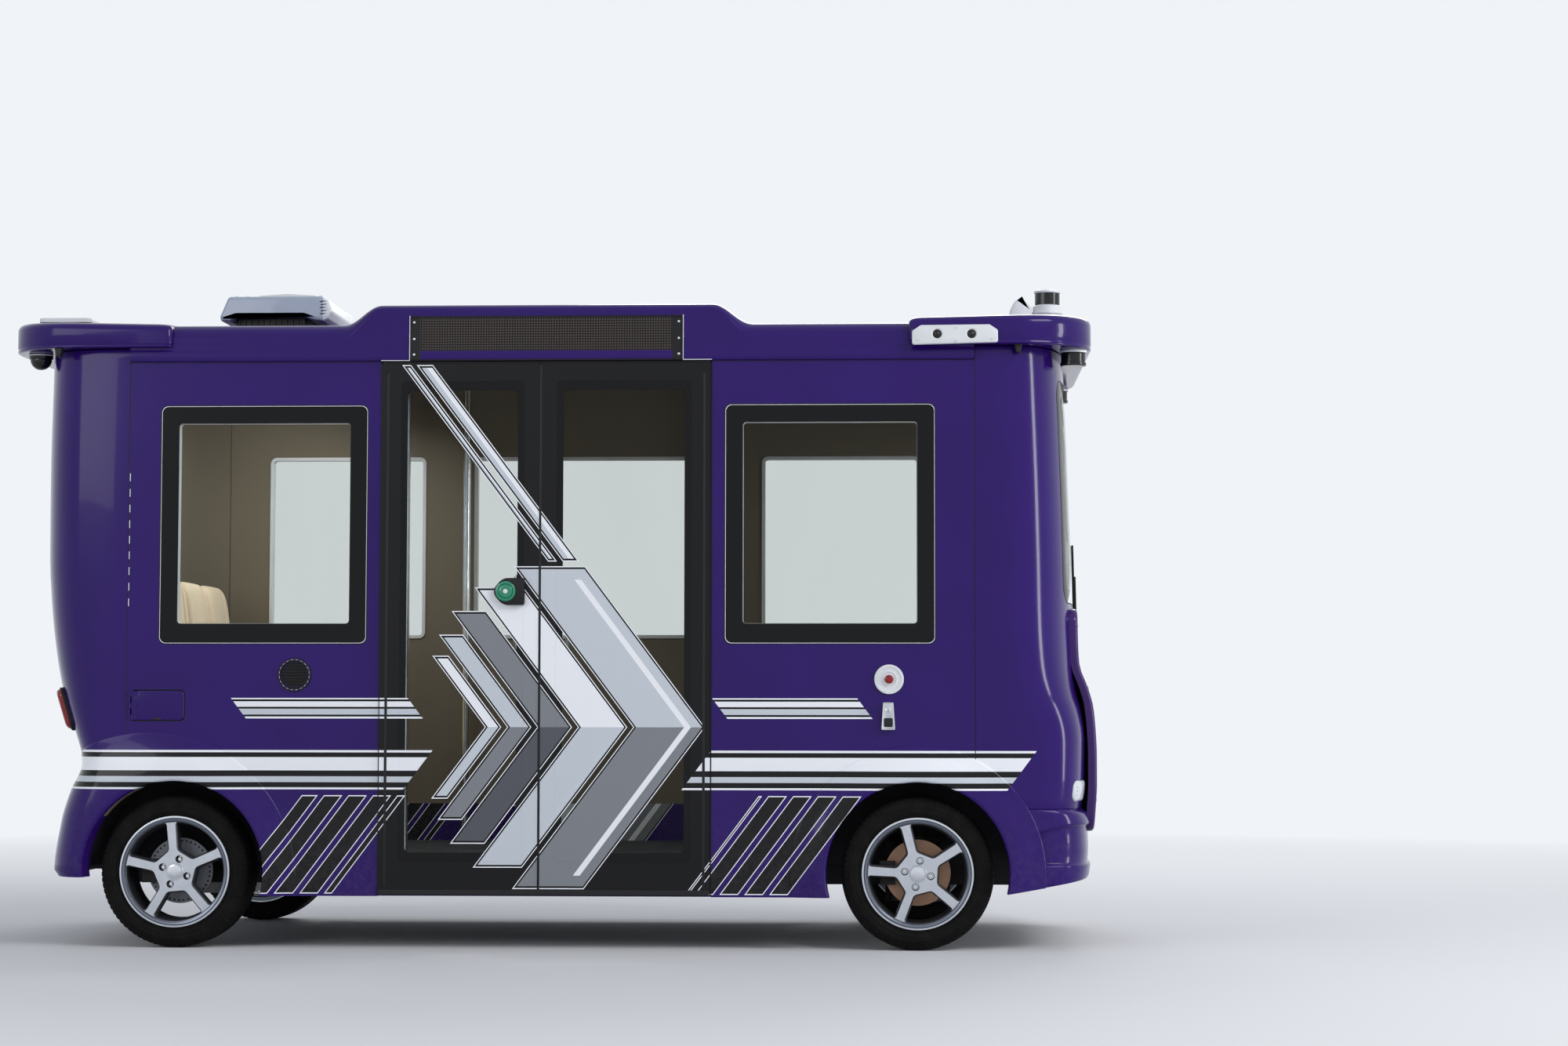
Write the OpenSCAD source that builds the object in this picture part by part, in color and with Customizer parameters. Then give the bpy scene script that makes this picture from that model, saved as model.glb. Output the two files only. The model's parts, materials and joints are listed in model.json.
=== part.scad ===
// Driverless airport passenger bus: a short box cabin on four road wheels.
// +X is the front, -Y the door side, +Z up. The origin is on the ground in the
// middle between the axles. All sizes are in millimetres.

/* [Wheels] */
// Distance between the axles
wheelbase = 2830; // [2780:10:2880]
// Distance between the middle planes of the tyres
track = 1546; // [1530:2:1556]
// Outer radius of a tyre, which is also the hub's height
tyre_r = 289; // [284:1:292]
// Width of a tyre
tyre_w = 190; // [180:1:196]
// Radius over the rim's outer lip
rim_r = 212; // [208:1:214]
// Largest angle of a front wheel to each side
steer_angle = 25; // [10:1:26]

/* [Cabin] */
// Distance between the flat sides
body_w = 1770; // [1760:2:1800]
// Thickness of a cabin wall
wall = 40; // [32:1:48]
// Height of the sill
sill_z = 200; // [190:1:210]
// Height of the side walls' top edge
side_top_z = 2237; // [2225:1:2245]
// Height of the cabin floor's top
floor_z = 340; // [335:1:350]
// Where the flat sides end and the front moulding starts
front_seam_x = 1633; // [1620:1:1640]
// Where the flat sides end and the rear moulding starts
rear_seam_x = 1605; // [1600:1:1620]
// Height of the roof over the flat sides
roof_z = 2384; // [2375:1:2400]
// Reach of the rear roof cap and of the nose panel from the middle
end_x = 2112; // [2110:1:2125]
// Reach of the front roof cap from the middle
cap_front_x = 2090; // [2085:1:2105]

/* [Openings] */
// Half width of the doorway
door_half = 630; // [610:1:640]
// Radius of a wheel arch
arch_r = 345; // [343:1:352]
// Radius of the seam round an arch flare
flare_r = 484; // [460:1:488]
// How far a flare stands out of the side
flare_out = 30; // [20:1:35]
// Thickness of the glass
glass_t = 6; // [4:1:8]
// Lower edge of a side window's pane
window_z0 = 1156; // [1140:1:1170]
// Upper edge of a side window's pane
window_z1 = 2070; // [2050:1:2085]
// Inner end of a side window's pane
window_x0 = 684; // [675:1:695]
// Outer end of a side window's pane
window_x1 = 1484; // [1470:1:1500]

/* [Hidden] */

gap = 0.3;
fn_big = 96;
fn_small = 32;
side_y = body_w / 2;
hub_z = tyre_r;
axle_x = wheelbase / 2;
glass_gap = 0.2;

// Wheels: name, end (front 1), side (right -1), angle of the first spoke
WHEELS = [
    ["front_right", 1, -1, 104.5],
    ["front_left", 1, 1, 90],
    ["rear_right", -1, -1, 95],
    ["rear_left", -1, 1, 80]
];

// Crease between the bumper and the front moulding over it
crease_z = 533;
crease_x = 2052;

// Sections of both: height, reach in the middle, squareness of the corner
FRONT_ROWS = [
    [sill_z, 2060, 6], [270, 2080, 6], [390, 2092, 6], [480, 2086, 6], [crease_z, crease_x, 6],
    [620, 2062, 6], [800, 2066, 6], [900, 2056, 5.4], [980, 2042, 4.4], [1080, 2036, 3.8],
    [1290, 2032, 3.6], [1560, 2026, 3.6], [1900, 2014, 3.6], [2290, 1996, 3.6]
];
// Sections of the rear moulding
REAR_ROWS = [
    [690, 1838, 3.8], [834, 1898, 3.6], [988, 1953, 3.6], [1110, 1980, 3.6], [1234, 1999, 3.6],
    [1360, 2012, 3.6], [1500, 2020, 3.6], [1842, 2022, 3.6], [2290, 2014, 3.6]
];
// Sections of the rear skirt under it
SKIRT_ROWS = [
    [268, 1925, 5], [292, 1945, 5], [473, 1918, 5], [600, 1882, 4.6], [690 - gap, 1842, 4.2]
];
nose_x = end_x;
// Sections of the nose panel: height, reach in the middle
NOSE_ROWS = [
    [450, 2100], [560, 2108], [620, nose_x], [740, nose_x], [825, 2108], [919, 2099], [995, 2078],
    [1083, 2046], [1167, 2041], [1290, 2039]
];

RING_N = 28;

// Cuts through an end wall run between these, behind its skin and in front of it
cut_in_x = 1800;
cut_out_x = 2200;

function ring(row, seam, t) = [
    for (i = [0:RING_N])
    let (p = -90 + 180 * i / RING_N, k = 2 / row[2])
    [
        seam + (row[1] - seam - t) * pow(abs(cos(p)), k),
        (side_y - t) * sign(p) * pow(abs(sin(p)), k),
        row[0]
    ]
];

// The sections of a table round a piece that reaches from one height to another
row_reach = 150;
function near(rows, z0, z1) = [
    for (r = rows) if (r[0] >= z0 - row_reach && r[0] <= z1 + 2 * row_reach) r
];

// Triangles of a grid of rows with n points each, wound one way or the other
function grid_faces(rows, n, at, flip) = [
    for (j = [0:rows - 2])
    for (i = [0:n - 2])
    let (a = at + j * n + i, b = a + 1, c = b + n, d = a + n)
    each (flip ? [[a, c, b], [a, d, c]] : [[a, b, c], [a, c, d]])
];

// Triangles across one level of n points, from each side to the other
function cap_faces(n, at, flip) = [
    for (i = [0:n / 2 - 1])
    let (a = at + i, b = a + 1, c = at + n - 2 - i, d = c + 1)
    each (flip
        ? (c > b ? [[a, c, b], [a, d, c]] : [[a, d, b]])
        : (c > b ? [[a, b, c], [a, c, d]] : [[a, b, d]]))
];

// A curved end wall, open towards the cabin, from a table of sections
module end_shell(rows, seam, t) {
    m = len(rows);
    n = RING_N + 1;
    outer = [for (r = rows) each ring(r, seam, 0)];
    inner = [for (r = rows) each ring(r, seam, t)];
    o = m * n;
    top = (m - 1) * n;
    polyhedron(
        points = concat(outer, inner),
        faces = concat(
            grid_faces(m, n, 0, true),
            grid_faces(m, n, o, false),
            [for (i = [0:n - 2]) each [[i, i + 1, o + i + 1], [i, o + i + 1, o + i]]],
            [for (i = [0:n - 2])
                let (a = top + i)
                each [[a, o + a + 1, a + 1], [a, o + a, o + a + 1]]],
            [for (j = [0:m - 2])
                let (a = j * n, d = a + n)
                each [[a, o + a, o + d], [a, o + d, d]]],
            [for (j = [0:m - 2])
                let (a = j * n + n - 1, d = a + n)
                each [[a, o + d, o + a], [a, d, o + d]]]
        )
    );
}

// The same form, filled, with its skin moved in by t
module end_solid(rows, seam, t) {
    m = len(rows);
    n = RING_N + 1;
    top = (m - 1) * n;
    polyhedron(
        points = [for (r = rows) each ring(r, seam, t)],
        faces = concat(
            grid_faces(m, n, 0, true),
            cap_faces(n, 0, false),
            cap_faces(n, top, true),
            [for (j = [0:m - 2])
                let (a = j * n, b = a + n - 1)
                each [[a, a + n, b], [b, a + n, b + n]]]
        )
    );
}

// Rectangle from (x0, y0) to (x1, y1) with round corners
module round_rect(x0, y0, x1, y1, r) {
    translate([x0 + r, y0])
        square([x1 - x0 - 2 * r, y1 - y0]);
    translate([x0, y0 + r])
        square([x1 - x0, y1 - y0 - 2 * r]);
    for (x = [x0 + r, x1 - r])
        for (y = [y0 + r, y1 - r])
            translate([x, y])
                circle(r = r, $fn = fn_small);
}

module box(a, b) {
    translate(a)
        cube(b - a);
}

// Prism along Y whose outline is drawn in X and Z
module along_y(y0, y1) {
    translate([0, y1, 0])
        rotate([90, 0, 0])
            linear_extrude(height = y1 - y0)
                children();
}

// Prism along X whose outline is drawn in Y and Z
module along_x(x0, x1) {
    translate([x0, 0, 0])
        rotate([90, 0, 90])
            linear_extrude(height = x1 - x0)
                children();
}

module rod_y(x, z, r, y0, y1) {
    along_y(y0, y1)
        translate([x, z])
            circle(r = r, $fn = fn_big);
}

module both_sides() {
    children();
    mirror([0, 1, 0])
        children();
}

// Wheel frame: Z points out of the bus, Y up, X forward, zero in the tyre's middle plane
module at_wheel(w) {
    translate([w[1] * axle_x, 0, hub_z])
        mirror([0, w[2] > 0 ? 1 : 0, 0])
            translate([0, -track / 2, 0])
                rotate([90, 0, 0])
                    children();
}

module ring_z(r0, r1, z0, z1) {
    translate([0, 0, z0])
        difference() {
            cylinder(r = r1, h = z1 - z0, $fn = fn_big);
            translate([0, 0, -1])
                cylinder(r = r0, h = z1 - z0 + 2, $fn = fn_big);
        }
}

// Tyre and rim

seat_r = rim_r - 16;
bead_z = tyre_w / 2 - 7;

module tyre(w) {
    t = tyre_w / 2;
    color([0.06, 0.06, 0.065])
        at_wheel(w)
            rotate_extrude($fn = 64)
                polygon([
                    [seat_r, -bead_z], [rim_r + 3, -bead_z], [rim_r + 16, -t], [tyre_r - 30, -t + 1],
                    [tyre_r - 9, -t + 12], [tyre_r - 1, -t + 28], [tyre_r, -t + 46],
                    [tyre_r, t - 46], [tyre_r - 1, t - 28], [tyre_r - 9, t - 12],
                    [tyre_r - 30, t - 1], [rim_r + 16, t], [rim_r + 3, bead_z], [seat_r, bead_z]
                ]);
}

// Rim: hub face behind the spokes, spoke star, and lug holes round the hub
hub_face = 38;
hub_pad_r = 68;
lug_circle_r = 50;
lug_hole_r = 11;
LUG_N = 4;
lug_turn = 24.5;
SPOKE_N = 5;
spoke_w0 = 47;
spoke_w1 = 60;
spoke_back = 46;
spoke_recess = 4;
barrel_t = 8;
rim_lip = 9;

module spoke_star(turn, r) {
    circle(r = hub_pad_r, $fn = fn_big);
    for (i = [0:SPOKE_N - 1])
        rotate(turn + i * 360 / SPOKE_N)
            polygon([[0, -spoke_w0 / 2], [r, -spoke_w1 / 2], [r, spoke_w1 / 2], [0, spoke_w0 / 2]]);
}

module rim(w) {
    barrel_r = seat_r - gap;
    color([0.75, 0.77, 0.8])
        at_wheel(w) {
            rotate_extrude($fn = fn_big)
                polygon([
                    [barrel_r - barrel_t, -bead_z - rim_lip], [rim_r, -bead_z - rim_lip],
                    [rim_r, -bead_z - gap], [barrel_r, -bead_z - gap],
                    [barrel_r, bead_z + gap], [rim_r, bead_z + gap],
                    [rim_r, bead_z + rim_lip], [barrel_r - barrel_t, bead_z + rim_lip]
                ]);
            translate([0, 0, spoke_back])
                linear_extrude(height = bead_z + rim_lip - spoke_recess - spoke_back)
                    difference() {
                        spoke_star(w[3], barrel_r - barrel_t + 3);
                        for (i = [0:LUG_N - 1])
                            rotate(w[3] - lug_turn + i * 360 / LUG_N)
                                translate([lug_circle_r, 0])
                                    circle(r = lug_hole_r, $fn = fn_small);
                    }
            translate([0, 0, hub_face])
                cylinder(r = hub_pad_r, h = spoke_back - hub_face + 1, $fn = fn_big);
        }
}

disc_r = 125;
disc_t = 12;
disc_z = -14;
spindle_r = 17;
spindle_back = 42;

module disc(w) {
    hat_r = 66;
    color([0.42, 0.33, 0.27])
        at_wheel(w) {
            ring_z(spindle_r - 1, disc_r, disc_z, disc_z + disc_t);
            ring_z(hat_r - 8, hat_r, disc_z, hub_face - gap);
            ring_z(0.5, hat_r, hub_face - 10, hub_face - gap);
            translate([0, 0, disc_z - spindle_back])
                cylinder(r = spindle_r, h = spindle_back + hub_face - disc_z - gap, $fn = fn_small);
        }
}

// Running gear

// The kingpin lies this far inside the tyre's middle plane
king_offset = 73;
king_y = track / 2 - king_offset;
joint_low_z = hub_z - 112;
joint_high_z = hub_z + 118;

module hub_carrier(x) {
    // Bearing housing round the spindle, with the caliper behind the disc
    near = track / 2 + disc_z - 5;
    difference() {
        union() {
            along_y(-near, -(king_y - 24))
                translate([x, hub_z])
                    circle(r = 46, $fn = fn_big);
            box([x - 30, -(king_y + 16), joint_low_z + 26], [x + 30, -(king_y - 24), joint_high_z - 26]);
        }
        rod_y(x, hub_z, spindle_r + 0.6, -(near + 1), -(king_y + 12));
    }
}

module caliper(x) {
    slot = disc_t + 10;
    mid_y = -(track / 2 + disc_z + disc_t / 2);
    difference() {
        box([x - disc_r - 18, mid_y - 32, hub_z - 45], [x - disc_r + 40, mid_y + 40, hub_z + 45]);
        box([x - disc_r - 8, mid_y - slot / 2, hub_z - 50], [x - disc_r + 50, mid_y + slot / 2, hub_z + 50]);
    }
    box([x - disc_r - 10, mid_y + 30, hub_z - 26], [x - 20, -(king_y - 24), hub_z + 26]);
}

module knuckle_on(side) {
    mirror([0, side > 0 ? 1 : 0, 0])
        color([0.3, 0.31, 0.32]) {
            hub_carrier(axle_x);
            caliper(axle_x);
            // Ball joints at the two arms, and the steering arm
            for (z = [joint_low_z, joint_high_z])
                translate([axle_x, -king_y, z])
                    sphere(r = 15, $fn = fn_small);
            translate([axle_x, -king_y, joint_low_z])
                cylinder(r = 9, h = joint_high_z - joint_low_z, $fn = fn_small);
        }
}

module knuckle_right() {
    knuckle_on(-1);
}

module knuckle_left() {
    knuckle_on(1);
}

rail_y = 400;
rail_w = 60;
rail_h = 90;
rail_in_y = rail_y - rail_w / 2;
rail_out_y = rail_y + rail_w / 2;
rail_top = floor_z - 25;
pad_z = sill_z + 12;
pad_half = 40;
tow_z = rail_top - 22;
tow_r = 9;
tow_depth = 60;
tow_hole_r = 30;
tow_front_x = 2050;
tow_rear_x = 1905;

// Wishbone from its chassis pivots out to the ball joint cup
module wishbone(x, z, inner) {
    difference() {
        union() {
            translate([0, 0, z - 10])
                linear_extrude(height = 20)
                    for (s = [-1, 1])
                        polygon([
                            [x - 14 * s, -king_y], [x + 14 * s, -king_y],
                            [x + s * 120, -inner], [x + s * 92, -inner]
                        ]);
            translate([x, -king_y, z - 17])
                cylinder(r = 24, h = 34, $fn = fn_small);
        }
        translate([x, -king_y, z])
            sphere(r = 15.3, $fn = fn_small);
        translate([x, -king_y, z - 20])
            cylinder(r = 12, h = 40, $fn = fn_small);
    }
}

module front_axle() {
    color([0.2, 0.2, 0.21])
        both_sides() {
            wishbone(axle_x, joint_low_z, rail_out_y + gap);
            wishbone(axle_x, joint_high_z, liner_y + gap);
            // Brackets on the rail for the lower arm, and the tower beside the wheel housing
            for (s = [-1, 1]) {
                box([axle_x + s * 106 - 20, -(rail_out_y + 28), joint_low_z - 16],
                    [axle_x + s * 106 + 20, -(rail_out_y + gap), rail_top - 10]);
                box([axle_x + s * 106 - 20, -(liner_y + 18), rail_top - 70],
                    [axle_x + s * 106 + 20, -(rail_out_y + gap), rail_top - 10]);
                box([axle_x + s * 106 - 20, -(liner_y + 18), rail_top - 70],
                    [axle_x + s * 106 + 20, -(liner_y + gap), joint_high_z + 16]);
            }
        }
}

module rear_axle() {
    color([0.2, 0.2, 0.21])
        both_sides() {
            hub_carrier(-axle_x);
            caliper(-axle_x);
            // Trailing arm from the rail to the hub
            box([-axle_x - 34, -(king_y + 10), hub_z - 34],
                [-axle_x + 34, -(rail_out_y + gap), rail_top - 8]);
        }
}

rail_end_front = 1860;
rail_end_rear = 1740;
unit_half = 150;
member_half = 30;
outrigger_x = 900;
outrigger_half = 25;
member_rear_x = 1680;
member_front_x = 1780;
member_mid_x = 700;
member_axle_x = axle_x - 280;
outrigger_out_y = side_y - wall - gap;

// Two rails with a socket for a towing eye at both ends of the right one
module chassis_frame() {
    color([0.12, 0.12, 0.13]) {
        both_sides()
            box([-rail_end_rear, -rail_out_y, rail_top - rail_h], [rail_end_front, -rail_in_y, rail_top]);
        for (v = [[rail_end_front, tow_front_x], [-tow_rear_x, -rail_end_rear]])
            difference() {
                along_x(v[0], v[1])
                    translate([-rail_y, tow_z])
                        circle(r = 18, $fn = fn_small);
                along_x(v[0] > 0 ? v[1] - tow_depth : v[0] - 1, v[0] > 0 ? v[1] + 1 : v[0] + tow_depth)
                    translate([-rail_y, tow_z])
                        circle(r = tow_r, $fn = fn_small);
            }
    }
}

// Members between the rails, and outriggers that carry the sills
module crossmembers() {
    color([0.12, 0.12, 0.13]) {
        beside_unit = unit_half + member_half + gap;
        for (x = [-member_rear_x, -axle_x - beside_unit, -axle_x + beside_unit, -member_mid_x, 0,
                  member_mid_x, member_axle_x, member_front_x])
            box([x - member_half, -(rail_in_y - gap), rail_top - rail_h + 10],
                [x + member_half, rail_in_y - gap, rail_top - 10]);
        for (x = [-outrigger_x, 0, outrigger_x])
            both_sides()
                box([x - outrigger_half, -outrigger_out_y, rail_top - 60],
                    [x + outrigger_half, -(rail_out_y + gap), rail_top]);
        // Pads for a jack under the end ones
        for (x = [-outrigger_x, outrigger_x])
            both_sides()
                box([x - pad_half, -outrigger_out_y, pad_z],
                    [x + pad_half, -(outrigger_out_y - 2 * pad_half), rail_top - 50]);
    }
}

module battery_block() {
    color([0.25, 0.26, 0.28])
        for (s = [-1, 1])
            box([s > 0 ? 40 : -660, -(rail_in_y - 20), sill_z - 10],
                [s > 0 ? 660 : -40, rail_in_y - 20, rail_top - gap]);
}

module drive_unit() {
    color([0.5, 0.51, 0.53]) {
        box([-axle_x - unit_half, -190, hub_z - 120], [-axle_x + unit_half, 190, hub_z + 20]);
        for (s = [-1, 1])
            rod_y(-axle_x, hub_z, 16, s > 0 ? 180 : -(rail_y - 40), s > 0 ? rail_y - 40 : -180);
    }
}

liner_r = arch_r + 17;
liner_t = 12;
// A steered tyre's inner corner stays this far from the housing
liner_clear = 38;
liner_y = king_y - liner_clear - tyre_r * sin(steer_angle)
    - (king_y - track / 2 + tyre_w / 2) * cos(steer_angle);
liner_out_y = side_y - wall - 30;

// Round housing over a wheel, closed towards the cabin
module wheel_liner(end) {
    x = end * axle_x;
    difference() {
        rod_y(x, hub_z, liner_r + liner_t, -liner_out_y, -(liner_y - liner_t));
        rod_y(x, hub_z, liner_r, -(side_y + 1), -liner_y);
        box([x - 600, -side_y - 5, -200], [x + 600, 0, floor_z - 30]);
    }
}

module floor_pan() {
    color([0.2, 0.21, 0.23])
        difference() {
            union() {
                box([-rear_seam_x + gap, -outrigger_out_y, rail_top + gap],
                    [front_seam_x - gap, outrigger_out_y, floor_z]);
                box([-1760, -700, rail_top + gap], [1800, 700, floor_z]);
            }
            for (e = [-1, 1])
                both_sides()
                    rod_y(e * axle_x, hub_z, liner_r + liner_t + gap, -(side_y + 1),
                        -(liner_y - liner_t - gap));
        }
}

module wheel_housings() {
    color([0.2, 0.21, 0.23])
        for (e = [-1, 1])
            both_sides()
                wheel_liner(e);
}

// Cabin walls

rebate = glass_t + gap;
clear_in_x = 68;
clear_in_z = 77;
corner_r = 26;

// Outline of a side window at the middle x: pane, or the smaller clear opening
module pane_2d(cx, half, grow) {
    round_rect(cx - half - grow, window_z0 - grow, cx + half + grow, window_z1 + grow, corner_r);
}

module clear_2d(cx, half) {
    round_rect(cx - half + clear_in_x, window_z0 + clear_in_z, cx + half - clear_in_x,
        window_z1 - 68, 14);
}

end_win_cx = (window_x0 + window_x1) / 2;
end_win_half = (window_x1 - window_x0) / 2;
mid_win_half = 579;
LEFT_WINDOWS = [[-end_win_cx, end_win_half], [0, mid_win_half], [end_win_cx, end_win_half]];
RIGHT_WINDOWS = [[-end_win_cx, end_win_half], [end_win_cx, end_win_half]];

// One flat side at negative Y with its windows and arches
module flat_side(windows) {
    difference() {
        box([-rear_seam_x, -side_y, sill_z], [front_seam_x, -(side_y - wall), side_top_z]);
        for (v = windows) {
            along_y(-side_y - 1, -side_y + rebate)
                pane_2d(v[0], v[1], glass_gap);
            along_y(-side_y - 1, -side_y + wall + 1)
                clear_2d(v[0], v[1]);
        }
        for (e = [-1, 1])
            rod_y(e * axle_x, hub_z, arch_r + 6, -side_y - 1, -side_y + wall + 1);
    }
}

vent_x = -958;
vent_z = 1038;
vent_r = 63;
stop_x = 1308;
stop_z = 1022;
stop_r = 56;
flap_x0 = -1592;
flap_x1 = -1378;
flap_z0 = 860;
flap_z1 = 982;
flap_gap = 5;
latch_x = 1305;

module side_right() {
    color([0.24, 0.14, 0.51]) {
        difference() {
            flat_side(RIGHT_WINDOWS);
            box([-door_half - 5, -side_y - 1, sill_z - 1],
                [door_half + 5, -side_y + wall + 1, side_top_z + 1]);
            rod_y(vent_x, vent_z, vent_r - 14, -side_y - 1, -side_y + 28);
            along_y(-side_y - 1, -side_y + 26)
                round_rect(flap_x0, flap_z0, flap_x1, flap_z1, 22);
        }
        hinge_barrels(1, -10);
        // Doorway frame behind the leaves, which joins the two halves of the side
        difference() {
            box([-door_half - 40, -(side_y + door_proud - leaf_t - gap), sill_z],
                [door_half + 40, -(side_y - wall), side_top_z]);
            box([-door_half + 70, -side_y, floor_z], [door_half - 70, 0, side_top_z - 60]);
        }
    }
}

module side_left() {
    color([0.24, 0.14, 0.51])
        mirror([0, 1, 0])
            flat_side(LEFT_WINDOWS);
}

module side_glass() {
    color([0.2, 0.24, 0.26, 0.5]) {
        for (v = RIGHT_WINDOWS)
            along_y(-side_y, -side_y + glass_t)
                pane_2d(v[0], v[1], 0);
        for (v = LEFT_WINDOWS)
            along_y(side_y - glass_t, side_y)
                pane_2d(v[0], v[1], 0);
    }
}

screen_half = 690;
screen_z0 = 1320;
screen_z1 = 2180;
screen_r = 70;
rear_win_half = 620;
rear_win_z0 = 1360;
rear_win_z1 = 2080;

module screen_2d(half, z0, z1, grow) {
    round_rect(-half - grow, z0 - grow, half + grow, z1 + grow, screen_r);
}

module window_cuts(rows, seam, half, z0, z1) {
    // Shallow rebate that holds the pane, and the clear opening through the wall
    difference() {
        along_x(cut_in_x, cut_out_x)
            screen_2d(half, z0, z1, glass_gap);
        end_solid(near(rows, z0, z1), seam, rebate);
    }
    along_x(cut_in_x, cut_out_x)
        screen_2d(half - 60, z0 + 60, z1 - 60, 0);
}

module end_pane(rows, seam, half, z0, z1) {
    intersection() {
        difference() {
            end_solid(near(rows, z0, z1), seam, 0);
            end_solid(near(rows, z0, z1), seam, glass_t);
        }
        along_x(cut_in_x, cut_out_x)
            screen_2d(half, z0, z1, 0);
    }
}

nose_half = 610;
nose_z0 = 440;
nose_z1 = 1300;
nose_corner = 60;

upper_rows = [for (r = FRONT_ROWS) if (r[0] >= crease_z) r];
bumper_rows = [for (r = FRONT_ROWS) if (r[0] < crease_z) r, [crease_z - gap, crease_x, 6]];

module front_end() {
    color([0.24, 0.14, 0.51])
        difference() {
            end_shell(upper_rows, front_seam_x, wall);
            window_cuts(upper_rows, front_seam_x, screen_half, screen_z0, screen_z1);
            both_sides()
                rod_y(axle_x, hub_z, arch_r + 6, -side_y - 20, -liner_y);
        }
}

// The lower edge rises towards the front
edge_x0 = 1700;
edge_z0 = sill_z + 6;
edge_z1 = 274;

module rising_edge() {
    along_y(-side_y - 50, side_y + 50)
        polygon([[edge_x0, 0], [edge_x0, edge_z0], [end_x + 8, edge_z1], [end_x + 8, 0]]);
}

// Recess round the bumper's corners, under an arched top
recess_x = 1863;
recess_z0 = 318;
recess_z1 = 446;
recess_rise = 30;
recess_t = 13;

module bumper_recess() {
    length = end_x - recess_x;
    difference() {
        along_y(-side_y - 50, side_y + 50)
            polygon(concat(
                [[end_x, recess_z0], [recess_x + 4, recess_z0], [recess_x, recess_z0 + 4]],
                [for (i = [0:8]) let (t = i / 8)
                    [recess_x + t * length, recess_z1 + recess_rise * sin(90 * min(1, 1.6 * t))]]
            ));
        end_solid(bumper_rows, front_seam_x, recess_t);
    }
}

module front_bumper() {
    color([0.24, 0.14, 0.51])
        difference() {
            end_shell(bumper_rows, front_seam_x, wall);
            bumper_recess();
            both_sides()
                rod_y(axle_x, hub_z, arch_r + 6, -side_y - 20, -liner_y);
            along_x(cut_in_x, cut_out_x)
                translate([-rail_y, tow_z])
                    circle(r = tow_hole_r, $fn = fn_small);
            rising_edge();
        }
}

module windscreen() {
    color([0.15, 0.18, 0.2, 0.5])
        end_pane(FRONT_ROWS, front_seam_x, screen_half, screen_z0, screen_z1);
}

module rear_end() {
    color([0.24, 0.14, 0.51])
        mirror([1, 0, 0])
            difference() {
                end_shell(REAR_ROWS, rear_seam_x, wall);
                window_cuts(REAR_ROWS, rear_seam_x, rear_win_half, rear_win_z0, rear_win_z1);
            }
}

module rear_window() {
    color([0.15, 0.18, 0.2, 0.5])
        mirror([1, 0, 0])
            end_pane(REAR_ROWS, rear_seam_x, rear_win_half, rear_win_z0, rear_win_z1);
}

module rear_skirt() {
    color([0.24, 0.14, 0.51])
        mirror([1, 0, 0])
            difference() {
                end_shell(SKIRT_ROWS, rear_seam_x, wall);
                along_x(cut_in_x, cut_out_x)
                    translate([-rail_y, tow_z])
                        circle(r = tow_hole_r, $fn = fn_small);
                both_sides()
                    rod_y(axle_x, hub_z, arch_r + 6, -side_y - 20, -liner_y);
            }
}

// Raised lips round the four arches. A lip's cross-section runs from the arch out to the seam:
// share of the way, how far it stands out
FLARE_ROWS = [
    [0, -60], [0, flare_out - 5], [0.05, flare_out], [0.25, flare_out - 3], [0.5, flare_out * 0.58],
    [0.75, flare_out * 0.25], [0.97, 3], [1, 1], [1, -60]
];
FLARE_N = 44;
// The rear seam is a larger circle, its middle behind the hub and below it
rear_flare_r = flare_r + 88;
rear_flare_back = 102;
rear_flare_down = 38;
flare_corner = 0.93;

function reach_at(rows, z) = lookup(z, [for (r = rows) [r[0], r[1]]]);
function square_at(rows, z) = lookup(z, [for (r = rows) [r[0], r[2]]]);

// Point on the body's skin over x and z, moved out along its normal
function on_skin(rows, seam, x, z, out) =
    let (
        n = square_at(rows, z),
        depth = reach_at(rows, z) - seam,
        u = max(0, x - seam) / depth,
        v = pow(1 - pow(u, n), 1 / n),
        nx = pow(u, n - 1) / depth,
        ny = pow(v, n - 1) / side_y,
        k = norm([nx, ny])
    )
    u > 0
        ? [x + out * nx / k, -(side_y * v + out * ny / k), z]
        : [x, -(side_y + out), z];

module flare_solid(rows, seam, back, down, r) {
    m = len(FLARE_ROWS);
    polyhedron(
        points = [
            for (i = [0:FLARE_N - 1])
            for (f = FLARE_ROWS)
            let (
                a = 360 * i / FLARE_N,
                arch_x = axle_x + arch_r * cos(a),
                arch_z = hub_z + arch_r * sin(a),
                seam_z = hub_z - down + r * sin(a),
                corner_x = seam + flare_corner * (reach_at(rows, seam_z) - seam),
                seam_x = min(axle_x + back + r * cos(a), corner_x),
                z = arch_z + f[0] * (seam_z - arch_z),
                x = arch_x + f[0] * (seam_x - arch_x),
                limit = seam + 0.98 * (reach_at(rows, z) - seam)
            )
            on_skin(rows, seam, min(x, limit), z, f[1])
        ],
        faces = [
            for (i = [0:FLARE_N - 1])
            for (j = [0:m - 1])
            let (
                a = i * m + j,
                b = i * m + (j + 1) % m,
                d = (i + 1) % FLARE_N * m + j,
                c = (i + 1) % FLARE_N * m + (j + 1) % m
            )
            each [[a, b, c], [a, c, d]]
        ]
    );
}

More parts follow.
